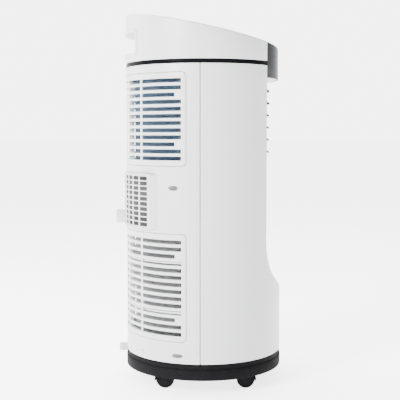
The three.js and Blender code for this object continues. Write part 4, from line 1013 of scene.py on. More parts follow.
def stacked_strips(finish):
    """Repeats the mesh it is given upwards: a strip that already follows the outline becomes a stack."""
    tree = Tree(f"stacked_strips_{finish}")
    tree.value("Count", "NodeSocketInt", 4)
    tree.value("Pitch", "NodeSocketFloat", 0.012)
    tree.begin()
    step = tree.node("ShaderNodeCombineXYZ", Z=tree.input("Pitch"))
    line = tree.node("GeometryNodeMeshLine", Count=tree.input("Count"), Offset=step.outputs[0])
    placed = tree.node("GeometryNodeInstanceOnPoints", Points=line.outputs[0],
                       Instance=tree.input("Geometry"))
    tree.end(placed.outputs[0], finish)
    return tree


def fins_along_curve(finish):
    """Stands a thin fin at every step of the curve it is given, square to the curve."""
    tree = Tree(f"fins_along_curve_{finish}")
    tree.value("Pitch", "NodeSocketFloat", 0.002)
    tree.value("Depth", "NodeSocketFloat", 0.02)
    tree.value("Height", "NodeSocketFloat", 0.1)
    tree.value("Thickness", "NodeSocketFloat", 0.0003)
    tree.begin()
    points = tree.node("GeometryNodeCurveToPoints", {"mode": "LENGTH"}, Curve=tree.input("Geometry"),
                       Length=tree.input("Pitch"))
    size = tree.node("ShaderNodeCombineXYZ", X=tree.input("Depth"), Y=tree.input("Height"),
                     Z=tree.input("Thickness"))
    fin = tree.node("GeometryNodeMeshCube", Size=size.outputs[0])
    placed = tree.node("GeometryNodeInstanceOnPoints", Points=points.outputs[0], Instance=fin.outputs[0],
                       Rotation=points.outputs["Rotation"])
    tree.end(placed.outputs[0], finish)
    return tree


def copies_round_axis(finish):
    """Repeats the mesh it is given round Z."""
    tree = Tree(f"copies_round_axis_{finish}")
    tree.value("Count", "NodeSocketInt", 8)
    tree.begin()
    line = tree.node("GeometryNodeMeshLine", Count=tree.input("Count"), Offset=(0.0, 0.0, 0.0))
    index = tree.node("GeometryNodeInputIndex")
    turn = tree.node("ShaderNodeMath", {"operation": "DIVIDE"})
    tree.tree.links.new(index.outputs[0], turn.inputs[0])
    tree.tree.links.new(tree.input("Count"), turn.inputs[1])
    full = tree.node("ShaderNodeMath", {"operation": "MULTIPLY"})
    tree.tree.links.new(turn.outputs[0], full.inputs[0])
    full.inputs[1].default_value = 2 * pi
    spin = tree.node("ShaderNodeCombineXYZ", Z=full.outputs[0])
    placed = tree.node("GeometryNodeInstanceOnPoints", Points=line.outputs[0],
                       Instance=tree.input("Geometry"),
                       Rotation=spin.outputs[0])
    tree.end(placed.outputs[0], finish)
    return tree


# ---- Intake grilles, filters and coils ----

def oval_strip(name, start, end, outer, inner, bottom, top, soft, steps=72):
    """A strip that follows the back of the body between two angles, with softened outer edges."""
    profile = [(inner, bottom), (outer + soft, bottom), (outer + soft * 0.3, bottom + soft * 0.3),
               (outer, bottom + soft), (outer, top - soft), (outer + soft * 0.3, top - soft * 0.3),
               (outer + soft, top), (inner, top)]
    rows = []
    for step in range(steps + 1):
        angle = start + (end - start) * step / steps
        rows.append([oval(angle, inset, z) for inset, z in profile])
    return loft(name, rows, closed=True, cap_start=True, cap_end=True)


def upright_rib(name, y, width, outer, inner, bottom, top):
    """A rib that stands across the back at a fixed place from side to side."""
    rows = []
    for z in (bottom, top):
        near, far = y - width / 2, y + width / 2
        soft = 0.6 * MM
        rows.append([Vector((back_x(near, inner), near, z)), Vector((back_x(near, outer + soft), near, z)),
                     Vector((back_x(near + soft, outer), near + soft, z)),
                     Vector((back_x(far - soft, outer), far - soft, z)),
                     Vector((back_x(far, outer + soft), far, z)), Vector((back_x(far, inner), far, z))])
    return loft(name, rows, closed=True, cap_start=True, cap_end=True)


def grille_frame(which, inner_front, first, last):
    """The flat border of a grille, bent round the back, with one big opening that the bars cross."""
    grille = settings("ac_grille")
    bottom, top, front = grille_span(which)
    thick = 3 * MM
    start = angle_at(CENTRE_X)
    count = 120
    rows = [[oval(start + (2 * pi - 2 * start) * step / count, inset, z) for step in range(count + 1)]
            for z, inset in ((bottom - 1 * MM, 0.0), (top + 1 * MM, 0.0))]
    band = thicken(loft("band", rows), thick)
    reach = 2 * HALF_DEPTH
    outline = rounded(reach, top - bottom, grille.corner - grille.gap,
                      (front - reach / 2, (top + bottom) / 2))
    combine(band, prism("keep", outline, "y", -2 * HALF_WIDTH, 2 * HALF_WIDTH), "INTERSECT")
    hole = rounded(reach, last - first, 1.2 * MM, (inner_front - reach / 2, (first + last) / 2))
    combine(band, prism("hole", hole, "y", -2 * HALF_WIDTH, 2 * HALF_WIDTH))
    return bevel(band, 0.55 * MM, 2, 50.0)


def build_grille(which, slots, pitch):
    grille = settings("ac_grille")
    bottom, _, front = grille_span(which)
    first = bottom - grille.gap + grille.edge
    last = first + (slots - 1) * pitch + grille.slot
    inner_front = front + grille.gap - grille.side
    parts = [grille_frame(which, inner_front, first, last)]
    start = angle_at(inner_front + 1.5 * MM)
    bar_bottom = first + grille.slot
    bar = oval_strip("bar", start, 2 * pi - start, 0.22 * MM, 2.9 * MM, bar_bottom,
                     bar_bottom + pitch - grille.slot, 0.9 * MM)
    parts.append(stacked_strips("white_plastic").run(bar, Count=slots - 1, Pitch=pitch))
    for step in range(-2, 3):
        parts.append(upright_rib("rib", step * grille.rib_spacing, 0.6 * grille.rib, 0.35 * MM, 1.7 * MM,
                                 first - 1 * MM, last + 1 * MM))
    pad_end = angle_at(inner_front - grille.tab)
    for row in (2, slots - 3):
        z = first + row * pitch - 0.8 * MM
        for angles in ((start, pad_end), (2 * pi - pad_end, 2 * pi - start)):
            parts.append(oval_strip("pad", angles[0], angles[1], 0.5 * MM, 2.7 * MM, z,
                                    z + grille.slot + 1.6 * MM, 0.5 * MM, 8))
        catch = angle_at(front - 1.2 * MM), angle_at(front - 4.6 * MM)
        for angles in (catch, (2 * pi - catch[1], 2 * pi - catch[0])):
            parts.append(oval_strip("catch", angles[0], angles[1], -0.5 * MM, 1.5 * MM, z + 1.2 * MM,
                                    z + grille.slot - 0.4 * MM, 0.5 * MM, 4))
    whole = join(f"{which}_grille_moulding", parts)
    whole.data.materials.clear()
    settle(whole, "white_plastic", f"{which}_grille", replaced=[f"{which}_grille"])


def build_filter(which):
    """A light lattice that clips behind the grille, with a row of thin bars."""
    node = f"{which}_filter"
    bottom, top, front = low(node, 2), high(node, 2), high(node, 0) + 4.5 * MM
    start = angle_at(front)
    coil_back = low("evaporator_coil" if which == "upper" else "condenser_coil",
                    0) - (CENTRE_X - HALF_DEPTH)
    outer, inner = 4.2 * MM, coil_back - 6.6 * MM
    bar = 3.6 * MM
    rows = 4
    pitch = (top - bottom - bar) / rows
    strip = oval_strip("bar", start, 2 * pi - start, outer, inner, bottom, bottom + bar, 0.4 * MM)
    parts = [stacked_strips("white_plastic").run(strip, Count=rows + 1, Pitch=pitch)]
    spacing = 0.20 * HALF_WIDTH
    for step in (-1, 0, 1):
        parts.append(upright_rib("post", step * spacing, 1.6 * MM, outer, inner, bottom + bar / 2,
                                 top - bar / 2))
    for angles in ((start, start + 0.03), (2 * pi - start - 0.03, 2 * pi - start)):
        parts.append(oval_strip("end", angles[0], angles[1], outer, inner, bottom, top, 0.4 * MM, 3))
    whole = join(f"{node}_lattice", parts)
    whole.data.materials.clear()
    settle(whole, "white_plastic", node, replaced=[node])


def oval_curve(name, start, end, inset, z, steps=120):
    curve = bpy.data.curves.new(name, "CURVE")
    curve.dimensions = "3D"
    spline = curve.splines.new("POLY")
    spline.points.add(steps)
    for step in range(steps + 1):
        spot = oval(start + (end - start) * step / steps, inset, z)
        spline.points[step].co = (*spot, 1.0)
    return linked(name, curve)


def mesh_from_curve(obj, tree, **chosen):
    """Runs a tree on a curve object and keeps the result as a mesh object."""
    tree.attach(obj, chosen)
    depsgraph = bpy.context.evaluated_depsgraph_get()
    mesh = bpy.data.meshes.new_from_object(obj.evaluated_get(depsgraph))
    bpy.data.objects.remove(obj)
    return linked("repeated", mesh)


def build_coil(node, finish):
    """A coil of upright fins on level tubes, with a plate at each end."""
    bottom, top = low(node, 2), high(node, 2)
    front = high(node, 0) + 5 * MM
    outer = low(node, 0) - (CENTRE_X - HALF_DEPTH)
    depth = 22 * MM
    tube_radius, tube_pitch = 3.5 * MM, 25 * MM
    end_angle = 0.02
    plate_angle = 0.012
    half_plate = 0.7 * MM
    start = angle_at(front, outer)
    middle = outer + depth / 2
    path = oval_curve("path", start + end_angle, 2 * pi - start - end_angle, middle, (bottom + top) / 2)
    fins = mesh_from_curve(path, fins_along_curve(finish), Pitch=settings("ac_grille").fin_pitch,
                           Depth=depth - 1 * MM, Height=top - bottom - 2 * MM, Thickness=0.35 * MM)
    parts = [fins]
    tube_count = int((top - bottom) / tube_pitch)
    rows = []
    for step in range(73):
        angle = start + (2 * pi - 2 * start) * step / 72
        hub = oval(angle, middle, bottom + 14 * MM)
        outward = oval_normal(angle)
        rows.append([hub + outward * (tube_radius * cos(a)) + Vector((0, 0, tube_radius * sin(a)))
                     for a in turn_angles(10)])
    tube = loft("tube", rows, closed=True, cap_start=True, cap_end=True)
    parts.append(stacked_strips("copper").run(tube, Count=tube_count, Pitch=tube_pitch))
    for angle in (start + plate_angle, 2 * pi - start - plate_angle):
        hub = oval(angle, middle, 0.0)
        outward = oval_normal(angle)
        along = Vector((-outward.y, outward.x, 0.0))
        ring = [hub + outward * (side * depth / 2) + along * (end * half_plate) for side, end in
                ((-1, -1), (1, -1), (1, 1), (-1, 1))]
        rows = [[Vector((p.x, p.y, z)) for p in ring] for z in (bottom, top)]
        plate = loft("plate", rows, closed=True, cap_start=True, cap_end=True)
        plate.data.materials.append(material("black_steel"))
        parts.append(plate)
    whole = join_with_materials(f"{node}_stack", parts)
    settle(whole, finish, "casing", replaced=[node])


def join_with_materials(name, parts):
    """Joins meshes and keeps each one's own material."""
    slots = []
    shape = bmesh.new()
    for part in parts:
        first = len(shape.faces)
        shape.from_mesh(part.data)
        shape.faces.ensure_lookup_table()
        own = next(finish for finish in part.data.materials if finish)
        if own not in slots:
            slots.append(own)
        for face in shape.faces[first:]:
            face.material_index = slots.index(own)
        bpy.data.objects.remove(part)
    mesh = bpy.data.meshes.new(name)
    shape.to_mesh(mesh)
    shape.free()
    for own in slots:
        mesh.materials.append(own)
    return linked(name, mesh)


# ---- Rear outlet, drains and gland ----

def boss_face_x(y, inset=0.0):
    radius = settings("ac_outlet").face_radius
    centre = low("exhaust_housing", 0) + radius
    return centre - sqrt((radius - inset) ** 2 - y ** 2)


def build_exhaust_housing():
    """A square collar with a curved face and softly rolled edges."""
    inner_x = high("exhaust_housing", 0)
    steps = 10
    levels = [(0.0, None), (0.0, 1.6), (0.25, 0.7), (0.8, 0.2), (1.6, 0.0), (2.0, 0.15), (2.5, 0.7),
              (2.6, 1.4), (2.6, None)]
    rows = []
    for inset, depth in levels:
        outline = dense(boss_outline(inset * MM), steps)
        if depth is None:
            rows.append([Vector((inner_x, y, z)) for y, z in outline])
        else:
            rows.append([Vector((boss_face_x(y) + depth * MM, y, z)) for y, z in outline])
    rows.append(rows[0])
    collar = loft("exhaust_collar", rows, closed=True)
    settle(collar, "white_plastic", "casing", replaced=["exhaust_housing"])
    # Painted shade: the collar's inner walls more than 4 mm behind the face get the darker pocket colour, standing
    # in for the shadow deep in the outlet.
    collar.data.materials.append(material("pocket_painted_shade"))
    middle = Vector((middle_of("exhaust_housing", 1),
                     middle_of("exhaust_housing", 2)))
    for face in collar.data.polygons:
        faces_in = face.normal.yz.dot(middle - face.center.yz) > 0
        if faces_in and face.center.x > boss_face_x(face.center.y) + 4 * MM:
            face.material_index = 1


def dense(outline, steps):
    """Splits the long sides of an outline so that it can bend."""
    points = []
    for index, point in enumerate(outline):
        after = outline[(index + 1) % len(outline)]
        gap = sqrt((after[0] - point[0]) ** 2 + (after[1] - point[1]) ** 2)
        pieces = steps if gap > 10 * MM else 1
        for piece in range(pieces):
            share = piece / pieces
            points.append((point[0] + (after[0] - point[0]) * share,
                           point[1] + (after[1] - point[1]) * share))
    return points


def curved_bar(name, left, right, bottom, top, recess, depth, soft):
    """A level bar that follows the outlet's curved face."""
    steps = 28
    profile = [(depth, bottom), (recess + soft, bottom), (recess, bottom + soft), (recess, top - soft),
               (recess + soft, top), (depth, top)]
    rows = []
    for step in range(steps + 1):
        y = left + (right - left) * step / steps
        rows.append([Vector((boss_face_x(y) + inset, y, z)) for inset, z in profile])
    return loft(name, rows, closed=True, cap_start=True, cap_end=True)


def build_exhaust_grid():
    outlet = settings("ac_outlet")
    wall = 3.0 * MM
    node = "exhaust_housing"
    left, right = low(node, 1) + wall, high(node, 1) - wall
    bottom, top = low(node, 2) + wall, high(node, 2) - wall
    row_pitch = (top - bottom - outlet.rib) / outlet.rows
    bar = curved_bar("rib", left + 0.5 * MM, right - 0.5 * MM, bottom, bottom + outlet.rib, 0.8 * MM,
                     2.8 * MM, 0.4 * MM)
    parts = [stacked_strips("white_plastic").run(bar, Count=outlet.rows + 1, Pitch=row_pitch)]
    column_pitch = (right - left - outlet.post) / outlet.columns
    for column in range(outlet.columns + 1):
        near = left + column * column_pitch
        parts.append(curved_bar("post", near, near + 0.7 * outlet.post, bottom, top, 1.1 * MM, 2.5 * MM,
                                0.3 * MM))
    whole = join("exhaust_grid_moulding", parts)
    whole.data.materials.clear()
    settle(whole, "white_plastic", "casing", replaced=["exhaust_grid"])


def drain_places(which):
    spout, cap = f"{which}_drain_spout", f"{which}_drain_cap"
    centre = Vector((0.0, middle_of(cap, 1), middle_of(cap, 2)))
    return spout, cap, centre, span_of(cap, 2) / 2


def build_drain(which, spout_radius, bore):
    spout, cap, centre, radius = drain_places(which)
    tip = low(spout, 0)
    collar_back = high(cap, 0) + 0.3 * MM
    wall_x = CENTRE_X - HALF_DEPTH - 1.5 * MM
    outline = [(bore, tip), (spout_radius - 0.5 * MM, tip), (spout_radius, tip + 0.6 * MM),
               (spout_radius, collar_back),
               (radius - 0.6 * MM, collar_back), (radius, collar_back + 0.5 * MM),
               (radius, wall_x + 4 * MM),
               (spout_radius, wall_x + 4 * MM), (spout_radius, high(spout, 0)), (bore, high(spout, 0)),
               (bore, tip)]
    tube = turned(f"{which}_drain_tube", outline[:-1], "x", centre, 48)
    hollow = turned("hollow", [(bore - 0.01 * MM, tip - 0.001), (bore - 0.01 * MM, high(spout, 0) + 0.001)],
                    "x", centre, 48)
    combine(tube, hollow)
    settle(tube, "white_plastic", "casing", replaced=[spout])
    end, lip = low(cap, 0), high(cap, 0)
    outline = [(0.0, end + 0.5 * MM), (radius * 0.62, end + 0.45 * MM), (radius * 0.68, end),
               (radius - 0.9 * MM, end),
               (radius - 0.3 * MM, end + 0.25 * MM), (radius, end + 0.9 * MM), (radius, lip - 0.5 * MM),
               (radius - 0.4 * MM, lip), (spout_radius + 0.4 * MM, lip),
               (spout_radius + 0.35 * MM, end + 2 * MM),
               (0.0, end + 2 * MM)]
    stopper = turned(f"{which}_drain_stopper", outline, "x", centre, 144, 24, 0.55 * MM
                     if which == "upper" else 0.0)
    settle(stopper, "white_plastic", f"{which}_drain_cap", replaced=[cap])


def build_gland():
    """A flanged rubber bush, square to the cover where it stands."""
    node = "cord_gland"
    middle_y = middle_of(node, 1)
    y = middle_y - 1.0 * MM
    x = back_x(y)
    turn = atan2(y / HALF_WIDTH ** 2, (x - CENTRE_X) / HALF_DEPTH ** 2)
    outline = [(3.6, -8.5), (8.0, -8.5), (8.0, 0.9), (10.4, 1.0), (11.0, 1.5), (11.0, 2.4), (10.2, 3.3),
               (6.6, 3.5),
               (5.6, 3.3), (4.2, 2.6), (3.6, 1.8)]
    bush = turned("cord_gland_bush", [(r * MM, z * MM) for r, z in outline], "z", (0, 0, 0), 48)
    hole = bore_cutter(3.5 * MM, -0.02, 0.02, "z", (0, 0, 0), 32)
    combine(bush, hole)
    normal = Vector((cos(turn), sin(turn), 0.0))
    across = Vector((-sin(turn), cos(turn), 0.0))
    place = Matrix((across.to_4d(), (0, 0, 1, 0), normal.to_4d(), (0, 0, 0, 1))).transposed()
    for row in range(3):
        place[row][3] = (x, y, middle_of(node, 2))[row]
    place[3][0] = place[3][1] = place[3][2] = 0.0
    settle(moved(bush, place), "black_plastic", "casing", replaced=[node])


# ---- Outlet frame, louvres and link ----

def build_outlet_frame():
    node = "outlet_frame"
    back, front = low(node, 0), high(node, 0)
    outer, inner = dense(outlet_outline(0.0), 6), dense(outlet_outline(-2.5 * MM), 6)
    soft = dense(outlet_outline(-0.9 * MM), 6), dense(outlet_outline(-1.6 * MM), 6)
    rows = []
    for outline, x in ((outer, back), (outer, front - 0.4 * MM), (soft[0], front + 0.4 * MM),
                       (soft[1], front + 0.4 * MM),
                       (inner, front - 0.5 * MM), (inner, back), (outer, back)):
        rows.append([Vector((x, y, z)) for y, z in outline])
    surround = loft("outlet_surround", rows, closed=True)
    parts = [surround]
    for index in range(LOUVRES):
        pivot = JOINTS[f"louvre_{index + 1}_tilt"]["pos_m"]
        for side in (-1, 1):
            y = side * (high(node, 1) - 2.5 * MM)
            outline = [(1.75, 0.0), (2.3, 0.0), (2.3, 0.3), (2.1, 0.5), (1.75, 0.5)]
            rows = [[(r * MM * cos(a), -side * z * MM, r * MM * sin(a)) for a in turn_angles(24)]
                    for r, z in outline]
            eye = loft("eye", rows + [rows[0]], closed=True)
            parts.append(moved(eye, Matrix.Translation((pivot[0], y, pivot[2]))))
    whole = join("outlet_surround", parts)
    settle(whole, "dark_grey_plastic", "casing", replaced=[node])


def blade_outline():
    outlet = settings("ac_outlet")
    half = outlet.louvre_thickness / 2
    back, front = -outlet.louvre_back, outlet.louvre_front
    upper = []
    steps = 16
    for step in range(steps + 1):
        share = step / steps
        x = back + (front - back) * share
        swell = half * min(1.0,
                           0.5 + 1.6 * share) * sqrt(max(0.0, 1 - max(0.0, (share - 0.86) / 0.14) ** 2))
        camber = 0.5 * MM * sin(pi * share)
        upper.append((x, camber, swell))
    return [(x, camber + swell) for x, camber,
            swell in upper] + [(x, camber - swell) for x, camber, swell in
                                                                   reversed(upper[:-1])]


def build_louvre(index):
    node = f"louvre_{index + 1}"
    pivot = JOINTS[f"{node}_tilt"]["pos_m"]
    end = high("louvre_tie_bar", 1) - 2.4 * MM
    outline = blade_outline()
    rows = [[(x, y, z) for x, z in outline] for y in (-end, -end + 0.01 * MM, 0.0, end - 0.01 * MM, end)]
    blade = bevel(loft("blade", rows, closed=True, cap_start=True, cap_end=True), 0.3 * MM, 2, 60.0)
    reach = high(node, 1)
    pin = turned("pin",
                 [(1.3 * MM, -reach), (1.55 * MM, -reach + 0.3 * MM), (1.55 * MM, reach - 0.3 * MM),
                  (1.3 * MM, reach)],
                 "y", (0, 0, 0), 20)
    arm = bevel(block("arm", (-9.4 * MM, end - 2 * MM, -1.15 * MM), (0.0, end - 0.05 * MM, 1.15 * MM)),
                0.35 * MM)
    crank = turned("crank", [(1.1 * MM, end - 1 * MM), (1.1 * MM, end + 2.3 * MM)], "y", (-8.4 * MM, 0, 0),
                   16)
    whole = join(f"{node}_blade", [blade, pin, arm, crank])
    place = Matrix.Translation((pivot[0], 0.0, pivot[2])) @ Matrix.Rotation(radians(31.0), 4, "Y")
    settle(moved(whole, place), "dark_grey_plastic", node, replaced=[node])


def build_tie_bar():
    node = "louvre_tie_bar"
    spot = JOINTS["tie_bar_pivot"]["pos_m"]
    first, last = JOINTS["louvre_1_tilt"]["pos_m"], JOINTS[f"louvre_{LOUVRES}_tilt"]["pos_m"]
    pitch = (first[2] - last[2]) / (LOUVRES - 1)
    height = (LOUVRES - 1) * pitch
    outline = rounded(3.6 * MM, height + 3.6 * MM, 1.75 * MM, (spot[0], spot[2] - height / 2))
    link = prism("tie_bar_link", outline, "y", low(node, 1), high(node, 1))
    for index in range(LOUVRES):
        hole = bore_cutter(1.35 * MM, -0.01, 0.01, "y", (spot[0], spot[1], spot[2] - index * pitch), 20)
        combine(link, hole)
    bevel(link, 0.25 * MM, 2, 50.0)
    settle(link, "grey_plastic", node, replaced=[node])


# ---- Casters ----

def build_caster(corner):
    axle = Vector(JOINTS[f"wheel_roll_{corner}"]["pos_m"])
    stem = Vector(JOINTS[f"caster_swivel_{corner}"]["pos_m"])
    outward = 1 if stem.x > axle.x else -1
    fork, wheel = f"caster_fork_{corner}", f"caster_wheel_{corner}"
    radius = axle.z
    hood_rows = []
    hood_gap, hood_wall = 1.3 * MM, 1.6 * MM
    inner, outer = radius + hood_gap, radius + hood_gap + hood_wall
    half = 10.4 * MM
    stem_x = 6 * MM
    stem_radius, race_radius, axle_radius = 4.0 * MM, 7.5 * MM, 2.4 * MM
    web_reach = 6.2 * MM
    profile = [(inner, -half), (outer - 0.6 * MM, -half), (outer, -half + 0.8 * MM),
               (outer, half - 0.8 * MM),
               (outer - 0.6 * MM, half), (inner, half)]
    first, last = radians(-9), radians(102)
    for step in range(25):
        angle = first + (last - first) * step / 24
        hood_rows.append([Vector((r * cos(angle), y, r * sin(angle))) for r, y in profile])
    hood = bevel(loft("hood", hood_rows, closed=True, cap_start=True, cap_end=True), 0.3 * MM, 2, 50)
    web_outline = [(0.0, -web_reach)] + [(outer * 0.96 * cos(a), outer * 0.96 * sin(a)) for a in
                                         [first + (last - first) * s / 16
                                          for s in range(17)]] + [(-web_reach, 0.0)]
    web = bevel(prism("web", web_outline, "y", -2.5 * MM, 2.5 * MM), 0.4 * MM, 2, 40)
    lift = high(fork, 2) - axle.z
    post_outline = [(stem_radius, inner), (stem_radius, lift - 0.8 * MM), (stem_radius - 0.8 * MM, lift)]
    post = turned("stem", post_outline, "z", (stem_x, 0, 0), 28)
    race_outline = [(race_radius, outer - 0.8 * MM), (race_radius, outer + 1.0 * MM),
                    (race_radius - 0.9 * MM, outer + 1.8 * MM)]
    cup = turned("race", race_outline, "z", (stem_x, 0, 0), 32)
    whole = join(f"{fork}_hood", [hood, web, post, cup])
    turn = Matrix.Translation(axle) @ Matrix.Rotation(0.0 if outward > 0 else pi, 4, "Z")
    settle(moved(whole, turn), "black_plastic", f"caster_{corner}", replaced=[fork])
    discs = []
    for side in (-1, 1):
        near, far = 3.0 * MM, 9.0 * MM
        outline = [(axle_radius, near), (radius - 2.2 * MM, near), (radius - 0.9 * MM, near + 0.3 * MM),
                   (radius, near + 1.4 * MM),
                   (radius, far - 1.6 * MM), (radius - 0.8 * MM, far - 0.5 * MM),
                   (radius - 2.2 * MM, far - 0.2 * MM),
                   (radius - 2.7 * MM, far - 0.9 * MM), (radius * 0.52, far - 1.1 * MM),
                   (radius * 0.46, far - 0.4 * MM),
                   (radius * 0.30, far), (0.0, far)]
        disc = turned("disc", outline, "y", (0, 0, 0), 64)
        if side < 0:
            moved(disc, Matrix.Scale(-1, 4, (0, 1, 0)))
            tidy(disc)
        discs.append(disc)
        spoke = block("spoke", (radius * 0.44, far - 1.2 * MM, -0.9 * MM),
                      (radius - 2.5 * MM, far - 0.6 * MM, 0.9 * MM))
        spoke = moved(bevel(spoke, 0.2 * MM), Matrix.Rotation(pi / 2, 4, "X"))
        spokes = copies_round_axis("wheel_rubber").run(spoke, Count=6)
        spokes.data.materials.clear()
        moved(spokes, Matrix.Rotation(-pi / 2, 4, "X"))
        if side < 0:
            moved(spokes, Matrix.Scale(-1, 4, (0, 1, 0)))
            tidy(spokes)
        discs.append(spokes)
    discs.append(turned("axle", [(axle_radius, -8 * MM), (axle_radius, 8 * MM)], "y", (0, 0, 0), 24))
    tyre = join(f"{wheel}_pair", discs)
    settle(moved(tyre, Matrix.Translation(axle)), "wheel_rubber", f"wheel_{corner}",
           [wheel])


# ---- Screws ----

def build_screws():
    for name in SCREWS:
        node = f"cover_screw_{name}"
        _, y, z, radius = screw_seat(name)
        head = radius - 0.4 * MM
        back = low(node, 0)
        outline = [(0.0, back), (head * 0.55, back + 0.05 * MM), (head * 0.85, back + 0.5 * MM),
                   (head, back + 1.2 * MM),
                   (head, back + 2.2 * MM), (1.6 * MM, back + 2.3 * MM),
                   (1.6 * MM, high(node, 0) - 1.6 * MM),
                   (0.0, high(node, 0))]
        screw = turned(f"{node}_head", outline, "x", (0, y, z), 32)
        for turn in (0.0, pi / 2):
            slot = block("slot", (back - 1 * MM, -head * 0.6, -0.45 * MM),
                         (back + 1.1 * MM, head * 0.6, 0.45 * MM))
            combine(screw, moved(slot, Matrix.Translation((0, y, z)) @ Matrix.Rotation(turn, 4, "X")))
        settle(screw, "zinc_steel", "casing", replaced=[node])


# ---- Pieces inside that keep their frame shape ----

def paint_inner_pieces():
    slots = {row["node"]: row["material_slot"] for row in frame["record"]["subparts"]}
    for name, obj in frame["nodes"].items():
        obj.data.materials.clear()
        obj.data.materials.append(material(slots[name]))


# ---- Stage ----

def area_light(name, place, aim, size, power):
    light = bpy.data.lights.new(name, "AREA")
    light.shape = "RECTANGLE"
    light.size, light.size_y = size
    light.energy = power
    obj = linked(name, light)
    obj.location = place
    obj.rotation_euler = (Vector(aim) - Vector(place)).to_track_quat("-Z", "Y").to_euler()


WORLD_STRENGTH = 5.6
WORLD_FROM_BACK = ((0.35, 1.0), (0.80, 0.06))
WORLD_FROM_SIDE = ((0.0, 0.16), (0.55, 1.0))
LIGHTS = (
    # Name, place, size and power. They all aim at LIGHT_AIM.
    ("key", (-1.7, -1.9, 1.4), (0.9, 1.2), 230),
    ("back_fill", (-1.8, 0.9, 1.0), (0.8, 1.4), 30),
    ("front_fill", (2.0, 0.6, 1.0), (0.8, 1.4), 25),
)
LIGHT_AIM = (0.0, 0.0, 0.35)
FLOOR_REACH = 60
CAMERA_SHIFT, CAMERA_DISTANCE, CAMERA_HEIGHT = -0.00634, 1.77167, 0.45416
CAMERA_PITCH = 0.0696
CAMERA_LENS, CAMERA_SENSOR = 85.0, 36.0


def build_studio_world():
    """A room that is brightest behind the object and darkens towards its front."""
    world = bpy.data.worlds.new("studio")
    world.use_nodes = True
    nodes, links = world.node_tree.nodes, world.node_tree.links
    heading = nodes.new("ShaderNodeSeparateXYZ")
    links.new(nodes.new("ShaderNodeTexCoord").outputs["Generated"], heading.inputs[0])
    levels = []
    for axis, stops in ((0, WORLD_FROM_BACK), (1, WORLD_FROM_SIDE)):
        ramp = nodes.new("ShaderNodeValToRGB")
        for element, (place, level) in zip(ramp.color_ramp.elements, stops):
            element.position = place
            element.color = (level, level, level, 1.0)
        links.new(heading.outputs[axis], ramp.inputs[0])
        levels.append(ramp.outputs[0])
    both = nodes.new("ShaderNodeMix")
    both.data_type = "RGBA"
    both.blend_type = "MULTIPLY"
    both.inputs["Factor"].default_value = 1.0
    links.new(levels[0], both.inputs[6])
    links.new(levels[1], both.inputs[7])
    links.new(both.outputs[2], nodes["Background"].inputs["Color"])
    nodes["Background"].inputs["Strength"].default_value = WORLD_STRENGTH
    bpy.context.scene.world = world


def build_floor():
    """A wide pale floor that glows faintly, so that it runs into the room behind without an edge."""
    reach = FLOOR_REACH
    corners = [(-reach, -reach, 0), (reach, -reach, 0), (reach, reach, 0), (-reach, reach, 0)]
    floor = new_object("floor", corners, [(0, 1, 2, 3)])
    shader = Shader("pale_floor")
    cloud = shader.noise(3.0, 3.0)
    base = shader.mix(cloud, rgba((0.86, 0.86, 0.86)), rgba((0.90, 0.90, 0.90)))
    finish = shader.finish(Base_Color=base, Roughness=0.7 + cloud * 0.1, Specular_IOR_Level=0.1,
                           Emission_Color=rgba((1.0, 1.0, 1.0)), Emission_Strength=3.2)
    floor.data.materials.append(finish)


def build_stage():
    build_floor()
    build_studio_world()
    for name, place, size, power in LIGHTS:
        area_light(name, place, LIGHT_AIM, size, power)
    area_light("top", (-0.4, 0.6, 2.6), (0.0, 0.0, 0.3), (2.0, 2.0), 60)
    camera = bpy.data.cameras.new("camera")
    camera.lens = CAMERA_LENS
    camera.sensor_width = CAMERA_SENSOR
    obj = linked("camera", camera)
    obj.location = (CENTRE_X + CAMERA_SHIFT, -CAMERA_DISTANCE, CAMERA_HEIGHT)
    obj.rotation_euler = (pi / 2 - CAMERA_PITCH, 0.0, 0.0)
    bpy.context.scene.camera = obj


# ---- Operators, panel and registration ----

def build_grilles():
    grille = settings("ac_grille")
    build_grille("upper", 12, grille.upper_pitch)
    build_grille("lower", 14, grille.lower_pitch)


def build_filters():
    build_filter("upper")
    build_filter("lower")


def build_coils():
    build_coil("evaporator_coil", "blue_fins")
    build_coil("condenser_coil", "aluminium_fins")


def build_exhaust():
    build_exhaust_housing()
    build_exhaust_grid()


def build_drains():
    build_drain("upper", 8.6 * MM, 6.0 * MM)
    build_drain("lower", 4.6 * MM, 3.0 * MM)


def build_louvres():
    build_outlet_frame()
    for index in range(LOUVRES):
        build_louvre(index)
    build_tie_bar()


def build_casters():
    for corner in CORNERS:
        build_caster(corner)


class AC_OT_stage(bpy.types.Operator):
    """Floor, soft studio light and camera"""
    bl_idname = "air_conditioner.stage"
    bl_label = "Stage"
    bl_options = {"REGISTER", "UNDO"}

    def execute(self, context):
        build_stage()
        return {"FINISHED"}


class AC_OT_inner_pieces(bpy.types.Operator):
    """Finishes for the machinery that keeps its frame shape"""
    bl_idname = "air_conditioner.inner_pieces"
    bl_label = "Inner pieces"
    bl_options = {"REGISTER", "UNDO"}

    def execute(self, context):
        paint_inner_pieces()
        return {"FINISHED"}


class AC_OT_base(bpy.types.Operator):
    """Black base with its skirt and band"""
    bl_idname = "air_conditioner.base"
    bl_label = "Base"
    bl_options = {"REGISTER", "UNDO"}

    def execute(self, context):
        build_base()
        return {"FINISHED"}


class AC_OT_front_cover(bpy.types.Operator):
    """White front cover with its hollow sweep and outlet opening"""
    bl_idname = "air_conditioner.front_cover"
    bl_label = "Front cover"
    bl_options = {"REGISTER", "UNDO"}

    def execute(self, context):
        build_front_cover()
        return {"FINISHED"}


class AC_OT_rear_cover(bpy.types.Operator):
    """White rear cover with its openings and screw pockets"""
    bl_idname = "air_conditioner.rear_cover"
    bl_label = "Rear cover"
    bl_options = {"REGISTER", "UNDO"}

    def execute(self, context):
        build_rear_cover()
        return {"FINISHED"}


